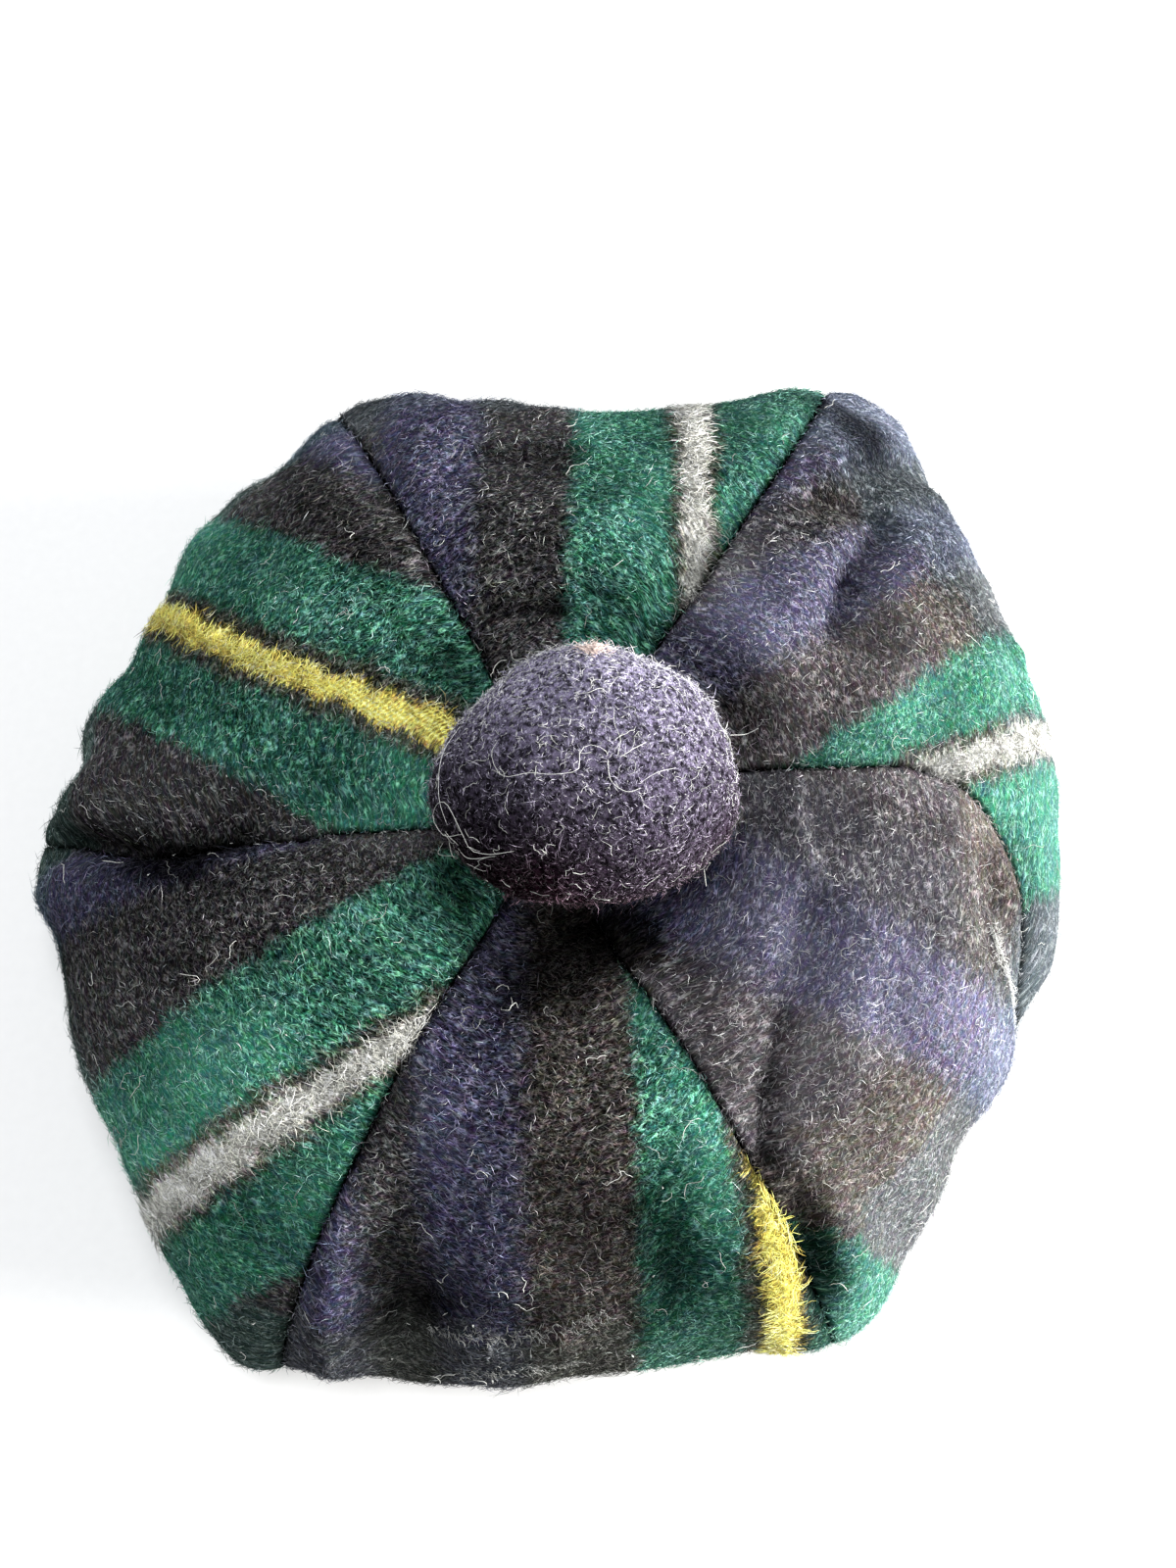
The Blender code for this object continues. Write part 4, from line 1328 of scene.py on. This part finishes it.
rng = np.random.default_rng(7)
ball = pompom_points[:POMPOM_RINGS]
ball_normals = unit(np.cross(np.gradient(ball, axis=1), np.gradient(ball, axis=0)))
inwards = ((ball - ball.mean((0, 1))) * ball_normals).sum(-1, keepdims=True) < 0
ball_normals = np.where(inwards, -1, 1) * ball_normals
weight = np.where(ball[:-1, :-1, 2] > 58, 1.0, 0.45)
spot, root, normal = scatter(rng, ball, ball_normals, FUZZ, weight)
length = FUZZ_LENGTH * rng.lognormal(0, 0.4, FUZZ)
lift = length * np.where(rng.random(FUZZ) < 0.12, 0.75, rng.uniform(0.05, 0.28, FUZZ))
paths = bent_paths(rng, root, normal, any_way(rng, normal), length, lift, 1)
laid = 0.02 + 0.96 * np.stack(spot[::-1], -1) / (POMPOM_SIDES, POMPOM_RINGS)
own = 0.07 + 3.2 * rng.random(FUZZ) ** 3.0
radius = FUZZ_RADIUS * rng.uniform(0.6, 1.2, FUZZ)
strands_piece("pompom_fibres", "pompom_felt", paths, radius, normal, own, laid, felt_fibres())
print(FUZZ, "fibres on the pompom")

# %% [markdown]
# A few long hairs lie loose on the felt, and a pale tuft sits at its far edge, where the ball was tied.
# Their waypoints are given as seen by the camera, in millimetres to the right of the ball's middle and
# up from it. Each one is moved to the nearest point of the ball's near side, so a hair lies on the felt.

# %% Loose hairs and the tuft
CURLS = 160
TUFT_FIBRES = 260
BALL_MIDDLE = np.array([*POMPOM_LEAN, POMPOM_HEIGHT])
CAMERA_ELEVATION = np.radians(74.0)
VIEW_RIGHT = np.array([1.0, 0.0, 0.0])
VIEW_UP = np.array([0.0, np.sin(CAMERA_ELEVATION), np.cos(CAMERA_ELEVATION)])
VIEW_BACK = np.array([0.0, -np.cos(CAMERA_ELEVATION), np.sin(CAMERA_ELEVATION)])
LOOSE_HAIRS = (
    (
        (-17, 7), (-18, 4), (-16, -0.5), (-10.5, 0), (-5.5, -0.3),
        (-1, 1), (-1, 3.5), (0.2, 5), (4, 4.2), (5, 3),
    ),
    ((4.6, 3), (5.6, -1.9), (8.5, -3.6), (11.4, -3)),
    ((11, -2.1), (13.5, -0.3), (18.5, 1)),
    ((6, 13), (6, 9), (7, 6.5), (6.7, 3), (9.5, 4.4), (12.3, 6)),
    ((-2, 16), (0.7, 15.6), (3.3, 16.5), (4.7, 16)),
    ((32, 8.6), (35.5, 8.8), (38.8, 10.2)),
    ((-26, 10.5), (-28.8, 3), (-29.3, -5), (-28.4, -12)),
    (
        (-25, -12.6), (-29.6, -12), (-31.2, -9.2), (-30.4, -6.8), (-27.4, -6.3), (-25.7, -9.2),
        (-24, -12.8), (-22.8, -15.2), (-20.3, -15.9), (-14, -15.8),
    ),
    ((-31, -14.7), (-31.4, -17), (-28.7, -17.4), (-27.6, -15.8), (-28.8, -14)),
    ((-16, 27), (-15.3, 25), (-11.5, 23), (-11, 21)),
    ((-27, -15.5), (-23.5, -17), (-18, -17)),
    ((26.5, -21), (27, -25)),
    ((-13.5, -21.5), (-15.5, -26.3)),
)
TUFT_AT = (2.0, 26.2)
TUFT = (0.80, 0.64, 0.58)


def on_ball(places):
    """The ball's points, and the unit normals there, that the camera sees nearest to places given as
    (right, up) from the ball's middle. A place beyond the ball's outline is left standing out from it."""
    points, normals = ball.reshape(-1, 3), ball_normals.reshape(-1, 3)
    seen = (normals @ VIEW_BACK) > -0.1
    points, normals = points[seen], normals[seen]
    flat = np.stack([(points - BALL_MIDDLE) @ VIEW_RIGHT, (points - BALL_MIDDLE) @ VIEW_UP], -1)
    short = np.asarray(places, float)[:, None] - flat[None]
    nearest = np.linalg.norm(short, axis=-1).argmin(1)
    short = short[np.arange(len(nearest)), nearest]
    return points[nearest] + short[:, :1] * VIEW_RIGHT + short[:, 1:] * VIEW_UP, unit(normals[nearest])


def smoothed(places, count):
    """A waypoint path made finer: each coordinate through the same kind of cubic as the crown's."""
    places = np.asarray(places, float)
    run = running(np.linalg.norm(np.diff(places, axis=0), axis=1))
    at_run = np.linspace(0, run[-1], count)
    return np.stack([through(run, places[:, axis], at_run) for axis in range(places.shape[1])], -1)


rng = np.random.default_rng(33)
loose, loose_up = [], []
for places in LOOSE_HAIRS:
    points, normals = on_ball(places)
    lift = np.full((len(points), 1), 1.2)
    lift[[0, -1]] = 0.2
    loose.append(smoothed(points + lift * normals, 24))
    loose_up.append(normals.mean(0))
count = len(loose)
strands_piece(
    "pompom_hairs", "pompom_felt", np.stack(loose), np.full(count, 0.055), np.stack(loose_up),
    rng.uniform(0.5, 1.0, count), patches(count, 16), fuzz_finish("pale_hair", HAIR, 0.8, 1.5),
)

upper = np.where(ball[:-1, :-1, 2] > 78, 1.0, 0.0)
paths, normal = laid_on(ball, ball_normals, rng, CURLS, 6, 3.0, 7.0, upper)
radius, own = rng.uniform(0.045, 0.07, CURLS), rng.random(CURLS)
strands_piece(
    "pompom_curls", "pompom_felt", paths, radius, normal, own, patches(CURLS, 16),
    fuzz_finish("felt_curls", HAIR, 0.3, 1.25),
)

places = np.asarray(TUFT_AT) + rng.normal(0, 1.0, (TUFT_FIBRES, 2)) * (1.3, 0.7)
root, normal = on_ball(places)
root = root + rng.normal(0, 0.35, root.shape)
length = rng.uniform(1.2, 2.6, TUFT_FIBRES)
way = any_way(rng, normal)
paths = bent_paths(rng, root, normal, way, length, rng.uniform(0.3, 1.2, TUFT_FIBRES), 2)
laid = 0.05 + 0.9 * rng.random((TUFT_FIBRES, 2))
radius, own = rng.uniform(0.06, 0.10, TUFT_FIBRES), rng.random(TUFT_FIBRES)
strands_piece(
    "pompom_tuft", "pompom_felt", paths, radius, normal, own, laid, fuzz_finish("pale_tuft", TUFT, 0.55, 1.0)
)
print(count, "loose hairs,", CURLS, "curls and a tuft on the ball")

# %% [markdown]
# ## The head band
#
# The band is a strip of plain wool, folded double with the fold at its foot. It is a profile of two
# layers, carried round a circle of the head's size, and it stays inside its solid's place.

# %% Make the band
BAND_ROWS = 240
BAND_GAP = 0.3  # between its two layers, mm
BAND_STEP = 3.0  # longest straight run of its outline, mm


def band_profile():
    """(reach, height) of the folded strip's outline: a half circle round the fold at the foot, up the
    inner layer and over its top, down between the layers round a small half circle, then over the outer
    layer's top and back down."""
    middle = BAND_INNER + BAND_WALL / 2
    half, gap = BAND_WALL / 2, BAND_GAP / 2
    lip = (half - gap) / 2
    arcs = (
        # middle's reach and height, radius, from angle, to angle, steps
        (middle, half, half, 0, -180, 9),
        (middle - half + lip, BAND_TOP - lip, lip, 180, 0, 7),
        (middle, 2 * half, gap, -180, 0, 4),
        (middle + half - lip, BAND_TOP - lip, lip, 180, 0, 7),
    )
    outline = []
    for reach, height, radius, first, last, steps in arcs:
        turn = np.radians(np.linspace(first, last, steps))
        outline.append(np.stack([reach + radius * np.cos(turn), height + radius * np.sin(turn)], -1))
    corners = np.concatenate(outline + [outline[0][:1]])
    run = running(np.linalg.norm(np.diff(corners, axis=0), axis=1))
    extra = np.arange(0, run[-1], BAND_STEP)
    extra = extra[np.abs(extra[:, None] - run).min(1) > BAND_STEP / 2]
    finer = np.sort(np.concatenate([run[:-1], extra]))
    return np.stack([np.interp(finer, run, corners[:, axis]) for axis in (0, 1)], -1)


def plain_wool():
    """Dark wool with a fine rib up the band and a nap that softens it."""
    finish = Finish("plain_wool", Roughness=0.95, Specular_IOR_Level=0.25, Sheen_Weight=0.3)
    place = finish.map("cloth")
    grain = finish.noise(place, (0.8, 0.8, 1.0), 0, 3.0, 0.6)
    clouds = finish.noise(place, (17.0, 17.0, 1.0), 0, 2.0)
    rib = (finish.axis(place, 0) * (2 * np.pi / (1.6 * MM))).sine()
    colour = finish.mix(grain.between(0.4, 0.8) * 0.5, (0.022, 0.021, 0.030, 1), (0.10, 0.10, 0.13, 1))
    colour = finish.scaled(colour, clouds * 0.6 + 0.7)
    return finish.finished(colour, finish.bump(grain + rib * 0.5, 0.4 * MM, 0.7))


profile = band_profile()
angle = np.linspace(0, 2 * np.pi, BAND_ROWS + 1)[:, None]
wobble = 0.25 * np.sin(5 * angle + 1.0) * np.sin(np.pi * profile[:, 1] / BAND_TOP)
reach = profile[:, 0] + wobble
band_points = np.stack([reach * np.cos(angle), reach * np.sin(angle), profile[:, 1] + 0 * angle], -1)
row, col = grid_corners(BAND_ROWS + 1, len(profile) + 1)
corner = (row % BAND_ROWS) * len(profile) + col % len(profile)
run = running(np.linalg.norm(np.diff(profile, axis=0, append=profile[:1]), axis=1))
laid = np.stack([row / BAND_ROWS, run[col] / run[-1]], -1)
along = np.stack([row / BAND_ROWS * 2 * np.pi * BAND_INNER, run[col]], -1) * MM
maps = {"cloth": along.reshape(-1, 2), "OFBake": laid.reshape(-1, 2)}
band = new_piece("band_cloth", "band_wool", band_points[:-1].reshape(-1, 3), [corner], maps, plain_wool())
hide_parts("head_band")
print("the band is", round(2 * np.pi * BAND_INNER), "mm round its inside")

# %% [markdown]
# ## What the cloth was cut from
#
# Each gore was a flat wedge that widens to the rim and narrows again to the band. Its flat length is the
# section's, its flat width is the arc between its seams at the rim, and its area is what the outer face
# of its mesh measures.

TURN_IN = 6  # cloth that is turned in at the band, mm

for gore, piece, (points, *_), naps in zip(GORES, gore_pieces, gore_faces, nap_pieces):
    width = np.linalg.norm(np.diff(points, axis=1), axis=-1).sum(1).max()
    area = cell_areas(points).sum()
    flat = (round(width) * MM, round(section_length(LAST_STATION) + TURN_IN) * MM)
    print(f"{gore.name}: {flat[0] / MM:.0f} by {flat[1] / MM:.0f} mm, {area / 100:.0f} square centimetres")
flat = (round(2 * np.pi * BAND_INNER) * MM, 2 * BAND_TOP * MM)

# %% [markdown]
# ## Floor, light and camera
#
# The hat lies on a pale floor. A big soft light stands low to the right, a weaker one hangs over its far
# side, and the sky is plain. Another script's fit of test renders to the photograph's brightness helped
# to choose the lights. The camera looks down from close by, nearly from above.

# %% Set the stage
def floor():
    bpy.ops.mesh.primitive_plane_add(size=6.0, location=(0, 0, -0.0005))
    ground = bpy.context.object
    ground.name = "floor"
    finish = Finish("pale_floor", Roughness=0.9, Specular_IOR_Level=0.2)
    place = finish.on_object()
    faint = finish.noise(place, (3.0,) * 3, 0, 2.0)
    colour = finish.mix(faint, (0.80, 0.80, 0.80, 1), (0.84, 0.84, 0.84, 1))
    ground.data.materials.append(finish.finished(colour))


def area_light(name, place, size, power, colour):
    """An elliptical light that faces the hat."""
    lamp = bpy.data.lights.new(name, "AREA")
    lamp.shape, lamp.energy, lamp.color = "ELLIPSE", power, colour
    lamp.size, lamp.size_y = size
    stand = bpy.data.objects.new(name, lamp)
    bpy.context.scene.collection.objects.link(stand)
    stand.location = place
    way = np.array(LIT) - place
    stand.rotation_euler = Vector(way).to_track_quat("-Z", "Y").to_euler()


CAMERA_DISTANCE = 0.339  # in metres, as all below
CAMERA_TARGET = np.array([0.01016, 0.01203, 0.024])
CAMERA_LENS = 29.25  # mm
LIT = (0, 0, 0.03)  # what both lights face

floor()
area_light("key", (1.30, -0.10, 0.25), (0.9, 0.4), 88.0, (1.0, 0.98, 0.95))
area_light("overhead", (0.0, 0.25, 1.32), (0.7, 0.7), 17.0, (0.96, 0.98, 1.0))
world = bpy.data.worlds.new("plain_sky")
world.use_nodes = True
sky = world.node_tree.nodes["Background"].inputs
sky["Color"].default_value = (1, 1, 1, 1)
sky["Strength"].default_value = 0.35
bpy.context.scene.world = world
bpy.context.scene.view_settings.view_transform = "Standard"

camera = bpy.data.objects.new("camera", bpy.data.cameras.new("camera"))
bpy.context.scene.collection.objects.link(camera)
camera.data.lens = CAMERA_LENS
camera.data.clip_start = 0.01
camera.location = CAMERA_TARGET + CAMERA_DISTANCE * VIEW_BACK
camera.rotation_euler = (np.pi / 2 - CAMERA_ELEVATION, 0, 0)
bpy.context.scene.camera = camera
print("camera at", [round(part, 3) for part in camera.location])
